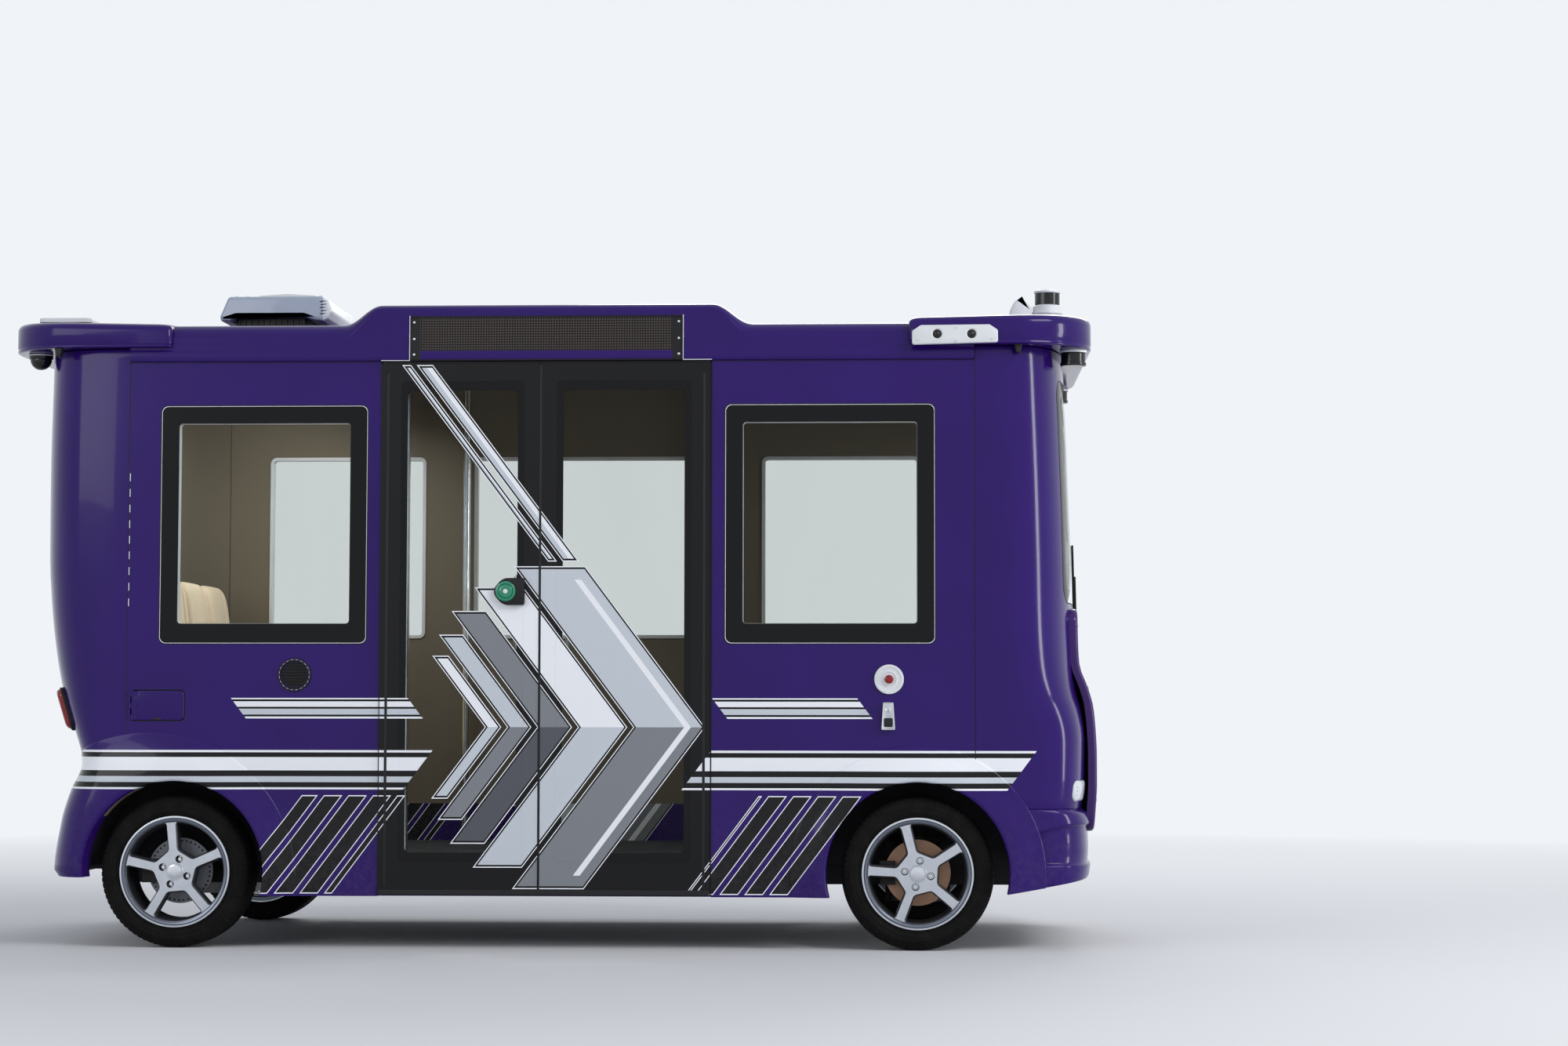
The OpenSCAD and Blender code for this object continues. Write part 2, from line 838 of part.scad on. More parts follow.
module flare_at(rows, seam, back, down, r, corner_z) {
    difference() {
        both_sides()
            flare_solid(rows, seam, back, down, r);
        // One cut for both sides, so that its facets match those of the wall
        end_solid(rows, seam, -gap);
        box([seam - 900, -(side_y + gap), -400], [seam + gap, side_y + gap, 1000]);
        box([axle_x - 700, -side_y - 100, -400], [seam, side_y + 100, sill_z]);
        box([seam, -side_y - 100, -400], [cut_out_x, side_y + 100, corner_z]);
    }
}

// Sections up to the height that the flares reach
low_z = 1000;
low_rows = [for (r = FRONT_ROWS) if (r[0] < low_z) r];
rear_low_rows = concat(SKIRT_ROWS, [for (r = REAR_ROWS) if (r[0] > 700 && r[0] < low_z) r]);

module arch_flares() {
    color([0.24, 0.14, 0.51]) {
        difference() {
            flare_at(low_rows, front_seam_x, 0, 0, flare_r, sill_z);
            rising_edge();
        }
        mirror([1, 0, 0])
            flare_at(rear_low_rows, rear_seam_x, rear_flare_back, rear_flare_down, rear_flare_r,
                SKIRT_ROWS[1][0]);
    }
}

module nose_panel() {
    color([0.15, 0.08, 0.3])
        intersection() {
            difference() {
                end_solid([for (r = NOSE_ROWS) [r[0], r[1], 7]], front_seam_x, 0);
                end_solid(near(FRONT_ROWS, nose_z0, nose_z1), front_seam_x, -gap);
            }
            along_x(cut_in_x, cut_out_x)
                round_rect(-nose_half, nose_z0, nose_half, nose_z1, nose_corner);
        }
}

// Roof

crown = 46;
roof_wall = 50;
edge_r = 70;
hump_half0 = 790;
hump_half1 = 636;
hump_z = 2457;
hump_in_z = 2463;
hump_y = 480;

module roof_2d(t) {
    w = side_y + 15 - t;
    z = roof_z - t;
    big = (w * w + crown * crown) / (2 * crown);
    intersection() {
        union() {
            translate([-w, side_top_z])
                square([2 * w, z - edge_r - side_top_z]);
            translate([-w + edge_r, side_top_z])
                square([2 * (w - edge_r), 400]);
            for (s = [-1, 1])
                translate([s * (w - edge_r), z - edge_r])
                    circle(r = edge_r, $fn = 64);
        }
        translate([0, z + crown - big])
            circle(r = big, $fn = 400);
    }
}

sign_half = 522;
sign_z0 = side_top_z + 1;
sign_z1 = 2410;
sign_depth = 46;

HUMP_N = 12;

// Half of the hump's outline, an S from the roof's edge up to its top
function hump_side(s) = [
    for (i = [0:HUMP_N])
    let (t = (s > 0 ? HUMP_N - i : i) / HUMP_N)
    [s * (hump_half0 - t * (hump_half0 - hump_half1)),
     roof_z - 4 + (hump_in_z - roof_z + 4) * (1 - cos(180 * t)) / 2]
];

module hump_solid() {
    foot = hump_half0 + 30;
    intersection() {
        along_y(-(side_y + 15), -hump_y)
            polygon(concat(
                [[-foot, side_top_z + 60]], hump_side(-1), hump_side(1), [[foot, side_top_z + 60]]
            ));
        along_x(-foot - 1, foot + 1)
            polygon([
                [-(side_y + 15), side_top_z], [-(side_y + 15), hump_z - 30], [-(side_y + 7), hump_z - 12],
                [-(side_y - 8), hump_z - 3], [-(side_y - 30), hump_z], [-hump_y - 120, hump_in_z],
                [-hump_y - 20, hump_in_z - 10], [-hump_y, side_top_z]
            ]);
    }
}

module roof() {
    color([0.24, 0.14, 0.51])
        difference() {
            union() {
                along_x(-rear_seam_x + gap, front_seam_x - gap)
                    roof_2d(0);
                hump_solid();
            }
            along_x(-rear_seam_x - 1, front_seam_x + 1)
                intersection() {
                    roof_2d(roof_wall);
                    translate([-1200, 0])
                        square([2400, roof_z - 20]);
                }
            box([-sign_half - gap, -(side_y + 20), side_top_z - 1],
                [sign_half + gap, -(side_y + 15 - sign_depth), sign_z1 + gap]);
        }
}

cap_over = 40;
cap_side_y = side_y + cap_over;
sensor_in = 225;
cap_z0 = 2292;
cap_z1 = 2436;
cap_front_x0 = 1384;
cap_rear_x0 = 1440;
cap_corner_r = 300;

// Layers of a cap's rounded edge: distance from its top, inset
CAP_EDGE = [[22, 0], [13, 2.5], [6, 7], [2, 13], [0, 20]];

module cap_plan(x0, x1, grow) {
    translate([x0, -cap_side_y - grow])
        square([x1 - cap_corner_r - x0, 2 * (cap_side_y + grow)]);
    translate([x0, -(cap_side_y - cap_corner_r)])
        square([x1 + grow - x0, 2 * (cap_side_y - cap_corner_r)]);
    for (s = [-1, 1])
        translate([x1 - cap_corner_r, s * (cap_side_y - cap_corner_r)])
            circle(r = cap_corner_r + grow, $fn = fn_big);
}

module cap(x0, x1, seam) {
    difference() {
        union() {
            for (v = CAP_EDGE)
                translate([0, 0, cap_z0 + v[0] * 0.6])
                    linear_extrude(height = cap_z1 - cap_z0 - v[0] * 1.6)
                        cap_plan(x0, x1, -v[1]);
        }
        // Rests on the roof and on the end wall below it
        along_x(x0 - 1, seam)
            roof_2d(-gap);
        translate([0, 0, cap_z0 - 1])
            linear_extrude(height = 90)
                translate([x0 - 10, -780])
                    square([500, 1560]);
    }
}

module roof_caps() {
    color([0.24, 0.14, 0.51]) {
        cap(cap_front_x0, cap_front_x, front_seam_x);
        mirror([1, 0, 0])
            cap(cap_rear_x0, end_x, rear_seam_x);
    }
}

module led_sign() {
    color([0.03, 0.03, 0.035])
        box([-sign_half, -(side_y + 17), sign_z0], [sign_half, -(side_y + 15 - sign_depth + gap), sign_z1]);
}

// Door

leaf_t = 36;
leaf_z0 = sill_z + 5;
leaf_z1 = side_top_z - 9;
door_split_x = -20;
stile = 74;
door_proud = 8;
door_glass_z0 = 330;
door_glass_z1 = 2161;

module leaf_pane_2d(x0, x1, grow) {
    round_rect(x0 - grow, door_glass_z0 - grow, x1 + grow, door_glass_z1 + grow, 20);
}

// Table of the two leaves: outer edge, inner edge, pane from, pane to
LEAVES = [
    [-door_half, door_split_x - 1, -door_half + stile, door_split_x - 62],
    [door_split_x + 1, door_half, door_split_x + 62, door_half - stile]
];

module door_leaf(v) {
    y0 = -(side_y + door_proud);
    color([0.04, 0.04, 0.05])
        difference() {
            along_y(y0, y0 + leaf_t)
                round_rect(v[0], leaf_z0, v[1], leaf_z1, 6);
            along_y(y0 - 1, y0 + rebate)
                leaf_pane_2d(v[2], v[3], glass_gap);
            along_y(y0 - 1, y0 + leaf_t + 1)
                leaf_pane_2d(v[2], v[3], -14);
        }
}

module door_leaf_rear() {
    door_leaf(LEAVES[0]);
}

module door_leaf_front() {
    door_leaf(LEAVES[1]);
}

module door_glass() {
    y0 = -(side_y + door_proud);
    color([0.2, 0.24, 0.26, 0.5])
        for (v = LEAVES)
            along_y(y0, y0 + glass_t)
                leaf_pane_2d(v[2], v[3], 0);
}

// Roof kit

ac_z = roof_z + crown - 12;
ac_half = 400;
ac_base_half = 330;
ac_lid_half = 250;
AC_SLOTS = 5;
ac_slot_x = -966;
ac_slot_z = ac_z + 118;

module ac_unit() {
    color([0.8, 0.82, 0.84]) {
        box([-1380, -ac_base_half, roof_z + crown + gap], [-1050, ac_base_half, ac_z + 119]);
        // Cover with two low feet and a raised lower edge between them
        difference() {
            along_y(-ac_half, ac_half)
                polygon([
                    [-1457, ac_z + 96], [-1450, ac_z + 88], [-1405, ac_z + 88], [-1375, ac_z + 118],
                    [-1060, ac_z + 118], [-1030, ac_z + 98], [-984, ac_z + 94], [-940, ac_z + 80],
                    [-900, ac_z + 96], [-880, ac_z + 122], [-888, ac_z + 144], [-905, ac_z + 164],
                    [-940, ac_z + 184], [-985, ac_z + 196], [-1425, ac_z + 193], [-1441, ac_z + 186],
                    [-1450, ac_z + 170]
                ]);
            for (i = [0:AC_SLOTS - 1])
                along_y(-ac_half - 1, -ac_half + 6)
                    translate([ac_slot_x + 3 * (i % 2), ac_slot_z + 14 * i])
                        polygon([[0, 0], [4, 0], [9, 11], [5, 11]]);
        }
        // Low lid over the fan
        along_y(-ac_lid_half, ac_lid_half)
            polygon([
                [-1303, ac_z + 190], [-1296, ac_z + 202], [-1230, ac_z + 207], [-1165, ac_z + 209],
                [-1100, ac_z + 207], [-1034, ac_z + 202], [-1026, ac_z + 190]
            ]);
    }
}

roof_lidar_x = 1950;
FIN = [
    [1780, 0], [1786, 56], [1798, 104], [1814, 136], [1832, 149], [1850, 144], [1872, 124],
    [1886, 112], [1886, 0]
];

module roof_lidar() {
    color([0.85, 0.86, 0.87]) {
        translate([roof_lidar_x, 0, cap_z1 + gap])
            rotate_extrude($fn = fn_big)
                polygon([
                    [0, 0], [62, 0], [62, 92], [59, 98], [59, 120], [51, 124], [51, 172], [54, 174],
                    [54, 182], [48, 186], [0, 186]
                ]);
        translate([0, 0, cap_z1 + gap])
            along_y(-45, 45)
                polygon(FIN);
    }
}

lidar_low_x = 2018;
lidar_low_y = cap_side_y - sensor_in;

module corner_lidars() {
    color([0.06, 0.06, 0.07])
        both_sides()
            translate([lidar_low_x, -lidar_low_y, cap_z0 - gap - 62])
                cylinder(r = 50, h = 62, $fn = fn_big);
}

dome_x = 2010;

module dome_cameras() {
    color([0.03, 0.03, 0.03])
        both_sides()
            translate([-dome_x, -(cap_side_y - sensor_in), 0]) {
                translate([0, 0, cap_z0 - 20 - gap])
                    cylinder(r = 46, h = 20, $fn = fn_big);
                intersection() {
                    translate([0, 0, cap_z0 - 20])
                        sphere(r = 42, $fn = fn_big);
                    translate([-60, -60, cap_z0 - 80])
                        cube([120, 120, 60]);
                }
            }
}

pod_x0 = 1397;
pod_x1 = 1722;
pod_z0 = 2288;
pod_z1 = 2364;
pod_t = 22;
lens_z = 2328;
lens_r = 17;

module camera_pods() {
    y0 = cap_side_y + gap;
    color([0.85, 0.86, 0.87])
        both_sides()
            difference() {
                along_y(-(y0 + pod_t), -y0)
                    polygon([
                        [pod_x0, pod_z0], [pod_x0, pod_z1 - 24], [pod_x0 + 33, pod_z1 - 2],
                        [pod_x1 - 32, pod_z1], [pod_x1, pod_z1 - 22], [pod_x1, pod_z0 + 8]
                    ]);
                for (x = [pod_x0 + 95, pod_x1 - 100])
                    rod_y(x, lens_z, lens_r, -(y0 + pod_t + 8), -(y0 + 10));
            }
}

// Cabin fittings

seat_pitch = (side_y - wall - 99) / 2;
seat_w = seat_pitch - 23;
seat_plate_z = hub_z + liner_r + liner_t + gap;
seat_base_z = seat_plate_z + 20 + gap;
seat_back_z = 1430;
bench_half = liner_y - liner_t - gap;
rear_row_x = -1650;
front_row_x = 1680;

// Places and turns of the two rows of seats, which face each other
module seat_rows() {
    translate([rear_row_x, 0, 0])
        children();
    translate([front_row_x, 0, 0])
        mirror([1, 0, 0])
            children();
}

module seats() {
    color([0.8, 0.76, 0.68])
        seat_rows()
            for (i = [-1.5:1.5])
                along_y(i * seat_pitch - seat_w / 2, i * seat_pitch + seat_w / 2)
                    polygon([
                        [0, seat_base_z], [440, seat_base_z], [455, seat_base_z + 64],
                        [110, seat_base_z + 54], [52, seat_back_z - 15], [-8, seat_back_z]
                    ]);
}

// Plate over the wheel housings and the bench between them
module seat_frames() {
    color([0.8, 0.76, 0.68])
        seat_rows() {
            box([0, -2 * seat_pitch, seat_plate_z], [420, 2 * seat_pitch, seat_plate_z + 20]);
            box([0, -bench_half, floor_z + gap], [380, bench_half, seat_plate_z + 1]);
        }
}

pole_in = 145;
pole_x = 560;

module grab_poles() {
    color([0.8, 0.82, 0.84])
        for (x = [-pole_x, pole_x])
            translate([x, -(side_y - pole_in), floor_z + gap])
                cylinder(r = 16, h = roof_z - roof_wall - floor_z - 2, $fn = fn_small);
}

// Lamps: outer and inner Y, lower and upper edge, how far the lens stands out
lamp_corner = 30;
headlamp = [810, 650, 560, 640, 8];
tail_lamp = [740, 540, 830, 985, 30];

module lamp_pair(rows, seam, v) {
    intersection() {
        difference() {
            end_solid(near(rows, v[2], v[3]), seam, -v[4]);
            end_solid(near(rows, v[2], v[3]), seam, -gap);
        }
        both_sides()
            along_x(seam, cut_out_x)
                round_rect(-v[0], v[2], -v[1], v[3], lamp_corner);
    }
}

module headlamps() {
    color([0.9, 0.92, 0.95])
        lamp_pair(FRONT_ROWS, front_seam_x, headlamp);
}

module tail_lamps() {
    color([0.6, 0.05, 0.05])
        mirror([1, 0, 0])
            lamp_pair(REAR_ROWS, rear_seam_x, tail_lamp);
}

wiper_x = 2046;
wiper_y = -320;
wiper_z = 1135;

module wiper() {
    color([0.03, 0.03, 0.03])
    {
        along_y(wiper_y - 10, wiper_y + 10)
            polygon([
                [wiper_x + 6, wiper_z - 15], [wiper_x + 16, wiper_z - 15],
                [wiper_x, wiper_z + 425], [wiper_x - 10, wiper_z + 425]
            ]);
        along_x(wiper_x - 2, wiper_x + 8)
            translate([wiper_y, wiper_z])
                circle(r = 12, $fn = fn_small);
    }
}

module round_vent() {
    color([0.03, 0.03, 0.03]) {
        rod_y(vent_x, vent_z, vent_r, -side_y - 8, -side_y - gap);
        rod_y(vent_x, vent_z, vent_r - 15, -side_y - 2, -side_y + 26);
    }
}

module stop_button() {
    color([0.85, 0.86, 0.87])
        rod_y(stop_x, stop_z, stop_r, -side_y - 10, -side_y - gap);
    color([0.7, 0.05, 0.05])
        rod_y(stop_x, stop_z, 14, -side_y - 22, -side_y - 5);
}

module side_latch() {
    color([0.8, 0.82, 0.84])
        along_y(-side_y - 22, -side_y - gap)
            polygon([[latch_x - 22, 937], [latch_x + 22, 937], [latch_x + 29, 828], [latch_x - 29, 828]]);
}

module door_button() {
    y0 = -(side_y + door_proud);
    color([0.03, 0.03, 0.03])
        along_y(y0 - 24, y0 - gap)
            round_rect(-203, 1303, -77, 1406, 30);
    color([0.05, 0.5, 0.35])
        rod_y(-148, 1355, 38, y0 - 32, y0 - 20);
}

hinge_r = 3;
hinge_y = -side_y - hinge_r - gap;
HINGE_N = 5;

// Barrels of the flap's hinge: the odd ones belong to the wall, the even ones to the flap
module hinge_barrels(first, tab_x) {
    step = (flap_z1 - flap_z0 - 2 * flap_gap) / HINGE_N;
    for (i = [first:2:HINGE_N - 1])
        translate([flap_x0, hinge_y, flap_z0 + flap_gap + i * step + 1]) {
            cylinder(r = hinge_r, h = step - 2, $fn = fn_small);
            translate([min(0, tab_x), hinge_r - 2, 0])
                cube([abs(tab_x), 2 + gap, step - 2]);
        }
}

module charge_flap() {
    color([0.24, 0.14, 0.51]) {
        along_y(-side_y, -side_y + 4)
            round_rect(flap_x0 + flap_gap, flap_z0 + flap_gap, flap_x1 - flap_gap, flap_z1 - flap_gap, 18);
        hinge_barrels(0, 30);
    }
}

module charge_inlet() {
    color([0.05, 0.05, 0.06])
        difference() {
            rod_y((flap_x0 + flap_x1) / 2, (flap_z0 + flap_z1) / 2, 42, -side_y + 10, -side_y + 26 - gap);
            rod_y((flap_x0 + flap_x1) / 2, (flap_z0 + flap_z1) / 2, 34, -side_y + 9, -side_y + 20);
        }
}

for (w = WHEELS) {
    tyre(w);
    rim(w);
    disc(w);
}
chassis_frame();
crossmembers();
floor_pan();
wheel_housings();
battery_block();
drive_unit();
rear_axle();
front_axle();
knuckle_right();
knuckle_left();
side_right();
side_left();
front_end();
front_bumper();
rear_end();
rear_skirt();
roof();
roof_caps();
led_sign();
windscreen();
rear_window();
side_glass();
door_leaf_rear();
door_leaf_front();
door_glass();
nose_panel();
arch_flares();
ac_unit();
roof_lidar();
corner_lidars();
dome_cameras();
camera_pods();
seats();
seat_frames();
grab_poles();
headlamps();
tail_lamps();
wiper();
round_vent();
stop_button();
side_latch();
door_button();
charge_flap();
charge_inlet();
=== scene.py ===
# %% [markdown]
# # Dressing a driverless airport bus
#
# The bus is a short glossy violet box on four alloy wheels, with a glazed double door in the
# middle of its right side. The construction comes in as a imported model: every panel, wheel and
# bracket at its real size and place. This lesson gives each of them its finish and adds what a
# builder of real buses would add last: smooth mouldings, rubber, seams, screws, lamps, lenses,
# cushions and paint. All lengths are in metres, +X is the front, -Y the door side and +Z up.

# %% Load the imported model
import json
import math
import bpy
import bmesh
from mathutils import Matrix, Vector


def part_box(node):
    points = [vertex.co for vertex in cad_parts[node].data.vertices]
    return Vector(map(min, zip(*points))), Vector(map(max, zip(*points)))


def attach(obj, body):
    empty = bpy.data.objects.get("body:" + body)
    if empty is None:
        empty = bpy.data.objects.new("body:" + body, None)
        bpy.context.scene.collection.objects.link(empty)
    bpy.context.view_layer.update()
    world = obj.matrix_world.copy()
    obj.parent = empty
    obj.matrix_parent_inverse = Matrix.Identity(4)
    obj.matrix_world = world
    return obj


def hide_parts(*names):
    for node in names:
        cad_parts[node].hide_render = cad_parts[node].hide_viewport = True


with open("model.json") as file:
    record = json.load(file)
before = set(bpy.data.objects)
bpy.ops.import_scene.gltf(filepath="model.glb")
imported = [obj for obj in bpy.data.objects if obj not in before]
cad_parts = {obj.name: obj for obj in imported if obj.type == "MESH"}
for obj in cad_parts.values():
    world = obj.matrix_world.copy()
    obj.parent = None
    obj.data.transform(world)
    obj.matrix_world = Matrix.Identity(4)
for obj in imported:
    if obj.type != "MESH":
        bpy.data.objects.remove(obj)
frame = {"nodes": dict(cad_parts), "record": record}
nodes = frame["nodes"]
scene = bpy.context.scene
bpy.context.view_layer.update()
print("packed nodes:", len(nodes))

# %% Sizes that the whole bus shares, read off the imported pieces
tyre_low, tyre_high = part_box("tyre_front_right")
HUB_Z = (tyre_low.z + tyre_high.z) / 2
AXLE_X = (tyre_low.x + tyre_high.x) / 2
TYRE_R = (tyre_high.z - tyre_low.z) / 2
TRACK_Y = -(tyre_low.y + tyre_high.y) / 2
side_low, side_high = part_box("side_left")
SEAM_REAR, SILL_Z = -side_low.x, side_low.z
SEAM_FRONT, SIDE_Y, SIDE_TOP = side_high
print(f"hubs at x {AXLE_X:.3f}, z {HUB_Z:.3f}; sides at y {SIDE_Y:.3f}")

# %% [markdown]
# ## The camera
#
# The photograph is a side view from far off. One perspective was fitted to the wheels and the
# windows, which gave a short telephoto lens at chest height, turned a little to the left and up.
# The camera could be aimed at a target, but typed angles keep the fit exactly as it was found.

# %% Place the camera
CAMERA_PLACE = (1.403, -12.356, 0.892)
PITCH_UP, ROLL_RIGHT, YAW_LEFT = 3.603, -0.056, 2.459
LENS = 69.51

camera = bpy.data.objects.new("camera", bpy.data.cameras.new("camera"))
camera.data.lens, camera.data.sensor_width, camera.data.clip_end = LENS, 36, 200
camera.location = CAMERA_PLACE
camera.rotation_euler = [math.radians(angle) for angle in (90 + PITCH_UP, ROLL_RIGHT, YAW_LEFT)]
scene.collection.objects.link(camera)
scene.camera = camera

# %% [markdown]
# ## Studio light
#
# Gloss paint shows whatever stands round it, so the studio is kept plain: a pale floor, a large
# soft key lamp on the front right where the sun stood, a broad fill from the door side and a rim
# lamp from behind. A tall narrow strip beside the key lamp draws the long upright highlight that
# a rounded corner of a bus is known by. The lamps stay at a level at which a colour renders
# about as it is written.

# %% Hang the lamps
scene.view_settings.view_transform = "Standard"

LAMPS = [
    # name, place, aimed at, width, height, watts
    ("key_lamp", (7.5, -7.0, 7.5), (0.3, -0.4, 1.1), 5.0, 3.0, 470),
    ("fill_lamp", (-6.5, -8.0, 4.0), (-0.3, -0.4, 1.2), 6.0, 3.5, 200),
    ("rim_lamp", (2.0, 8.0, 6.5), (0.0, 0.3, 1.4), 6.0, 3.0, 320),
    ("corner_strip", (9.0, -3.0, 2.2), (2.0, -0.6, 1.3), 1.0, 4.0, 200),
    ("cabin_lamp", (-1.1, 0.1, 2.28), (-1.55, 0.1, 0.9), 0.4, 0.9, 16),
]
for name, place, target, width, height, watts in LAMPS:
    light = bpy.data.lights.new(name, "AREA")
    light.shape, light.size, light.size_y, light.energy = "RECTANGLE", width, height, watts
    lamp = bpy.data.objects.new(name, light)
    lamp.location = place
    lamp.rotation_euler = (Vector(target) - Vector(place)).to_track_quat("-Z", "Y").to_euler()
    scene.collection.objects.link(lamp)
print("lamps:", [row[0] for row in LAMPS])

# %% [markdown]
# ## A small language for finishes
#
# A shader node tree is wiring, and wiring is hard to read as code. Here one class wraps an output
# socket, so that sums on surfaces look like sums on numbers, and one method adds any other node.


# %% Wrap a socket
class Wire:
    """An output socket of a finish. Arithmetic on it adds Math nodes."""

    def __init__(self, finish, socket):
        self.finish, self.socket = finish, socket

    def math(self, operation, *values):
        return self.finish.node("ShaderNodeMath", {"operation": operation}, dict(enumerate(values)))

    def out(self, name):
        """Another output of the same node."""
        return Wire(self.finish, self.socket.node.outputs[name])


def one(operation):
    return lambda self: self.math(operation, self)


def two(operation, turned=False):
    """A method that takes a second value, which comes first when turned, as in 1 - mask."""
    return lambda self, other: self.math(operation, *((other, self) if turned else (self, other)))


for word, operation in (("add", "ADD"), ("sub", "SUBTRACT"), ("mul", "MULTIPLY"), ("truediv", "DIVIDE")):
    setattr(Wire, f"__{word}__", two(operation))
    setattr(Wire, f"__r{word}__", two(operation, turned=True))
Wire.__gt__, Wire.__lt__ = two("GREATER_THAN"), two("LESS_THAN")
# Where shapes are distances, the larger of two is their overlap and the smaller is both together.
Wire.most, Wire.least = two("MAXIMUM"), two("MINIMUM")
Wire.__abs__, Wire.sine, Wire.root, Wire.part = one("ABSOLUTE"), one("SINE"), one("SQRT"), one("FRACT")


# %% Build a material from wires
class Finish:
    """A material whose Principled shader is set by name, with any node added by one method."""

    def __init__(self, name, **constants):
        self.material = bpy.data.materials.new(name)
        self.material.use_nodes = True
        self.tree = self.material.node_tree
        self.shader = self.tree.nodes["Principled BSDF"]
        self.set(**constants)

    def node(self, kind, settings=None, inputs=None):
        """Adds a node: its settings first, then the values or wires of its inputs."""
        made = self.tree.nodes.new(kind)
        for key, value in (settings or {}).items():
            if key == "stops":
                ramp = made.color_ramp
                while len(ramp.elements) < len(value):
                    ramp.elements.new(1.0)
                for element, (position, colour) in zip(ramp.elements, value):
                    element.position, element.color = position, colour
                ramp.interpolation = "CONSTANT"
            else:
                setattr(made, key, value)
        for key, value in (inputs or {}).items():
            self.feed(made.inputs[key], value)
        return Wire(self, made.outputs[0])

    def feed(self, socket, value):
        """Links a wire to an input, or sets the input's own value."""
        if isinstance(value, Wire):
            self.tree.links.new(value.socket, socket)
        elif hasattr(socket.default_value, "__len__") and len(socket.default_value) == 4:
            socket.default_value = (*value[:3], 1.0)
        else:
            socket.default_value = value

    def set(self, **values):
        """Sets the shader's sockets, as Base_Color=..., Roughness=..."""
        for key, value in values.items():
            self.feed(self.shader.inputs[key.replace("_", " ")], value)
        return self

    def place(self):
        """The point on the piece, in metres in the bus's own frame."""
        return self.node("ShaderNodeTexCoord").out("Object")

    def geometry(self, name):
        """What Blender knows of the surface there, such as its normal."""
        return self.node("ShaderNodeNewGeometry").out(name)

    def axes(self, vector=None):
        split = self.node("ShaderNodeSeparateXYZ", inputs={0: vector or self.place()})
        return split.out("X"), split.out("Y"), split.out("Z")

    def mix(self, mask, below, above):
        """Colour below, with colour above painted over it where mask is 1."""
        made = self.node("ShaderNodeMix", {"data_type": "RGBA"}, {"Factor": mask, 6: below, 7: above})
        return Wire(self, made.socket.node.outputs[2])

    def noise(self, scale, detail=3.0, roughness=0.5, stretch=(1, 1, 1)):
        """Cloudy noise from 0 to 1, stretched along an axis where its factor is small."""
        inputs = {"Vector": self.place(), "Scale": tuple(scale * s for s in stretch)}
        inputs = {"Vector": self.node("ShaderNodeMapping", {}, inputs), "Scale": 1.0}
        return self.node("ShaderNodeTexNoise", {}, {**inputs, "Detail": detail, "Roughness": roughness})

    def range(self, value, low, high, to_low=0.0, to_high=1.0):
        """value from low..high to to_low..to_high, clamped."""
        limits = {0: value, 1: low, 2: high, 3: to_low, 4: to_high}
        return self.node("ShaderNodeMapRange", {"clamp": True}, limits)

    def bump(self, height, strength, distance):
        """Relief in metres that the light sees; the last step of most finishes."""
        inputs = {"Strength": strength, "Distance": distance, "Height": height}
        return self.set(Normal=self.node("ShaderNodeBump", {}, inputs)).material

    def show(self, wire):
        """Hands a shader to the output."""
        self.tree.links.new(wire.socket, self.tree.nodes["Material Output"].inputs["Surface"])
        return self.material

    def cover(self, mask, over):
        """Puts the Principled shader over another one, where mask is 1."""
        own = Wire(self, self.shader.outputs[0])
        return self.show(self.node("ShaderNodeMixShader", {}, {0: mask, 1: over, 2: own}))


def srgb(red, green, blue):
    """Colour as seen on a screen, 0 to 255, turned into the linear values that shaders take."""
    linear = [v / 12.92 if v <= 0.04045 else ((v + 0.055) / 1.055) ** 2.4 for v in (red / 255, green / 255, blue / 255)]
    return (*linear, 1.0)


def darker(colour, share):
    return tuple(c * share for c in colour[:3])


# %% [markdown]
# ## The floor and the backdrop
#
# One big pale sheet takes the shadow, and its far half would end in a hard horizon. A curved
# paper sweep is the studio's answer. Here the sheet turns, by its own distance from the bus, into
# the white that the world shows, for the camera and for what gloss and glass see. From below the
# sheet is clear, so that the underbody can be looked at.

# %% Make the floor
FLOOR_HALF = 60.0
BACKDROP = srgb(240, 243, 247)


def looked_at(finish):
    """1 for the rays that show the surroundings, 0 for those that light the bus."""
    path = finish.node("ShaderNodeLightPath")
    return path.out("Is Camera Ray").most(path.out("Is Glossy Ray")).most(path.out("Is Transmission Ray"))


floor_mesh = bpy.data.meshes.new("studio_floor")
corners = [(x * FLOOR_HALF, y * FLOOR_HALF, 0) for x, y in ((-1, -1), (1, -1), (1, 1), (-1, 1))]
floor_mesh.from_pydata(corners, [], [(0, 1, 2, 3)])
floor = bpy.data.objects.new("studio_floor", floor_mesh)
scene.collection.objects.link(floor)
paint = Finish("floor_paint", Roughness=0.85, Base_Color=srgb(214, 214, 217))
away = paint.node("ShaderNodeVectorMath", {"operation": "LENGTH"}, {0: paint.place()})
far = paint.range(away.out("Value"), 3.2, 11.0)
white = paint.node("ShaderNodeEmission", {}, {"Color": BACKDROP, "Strength": 1.0})
below = paint.geometry("Backfacing")
clear = paint.node("ShaderNodeBsdfTransparent")
over = paint.node("ShaderNodeMixShader", {}, {0: below, 1: white, 2: clear})
floor_mesh.materials.append(paint.cover((1.0 - far * looked_at(paint)) * (1.0 - below), over))

# %% Make the world
world = bpy.data.worlds.new("studio")
scene.world = world
world.use_nodes = True


class Sky(Finish):
    """The world's own nodes, wired in the same way."""

    def __init__(self):
        self.tree = world.node_tree


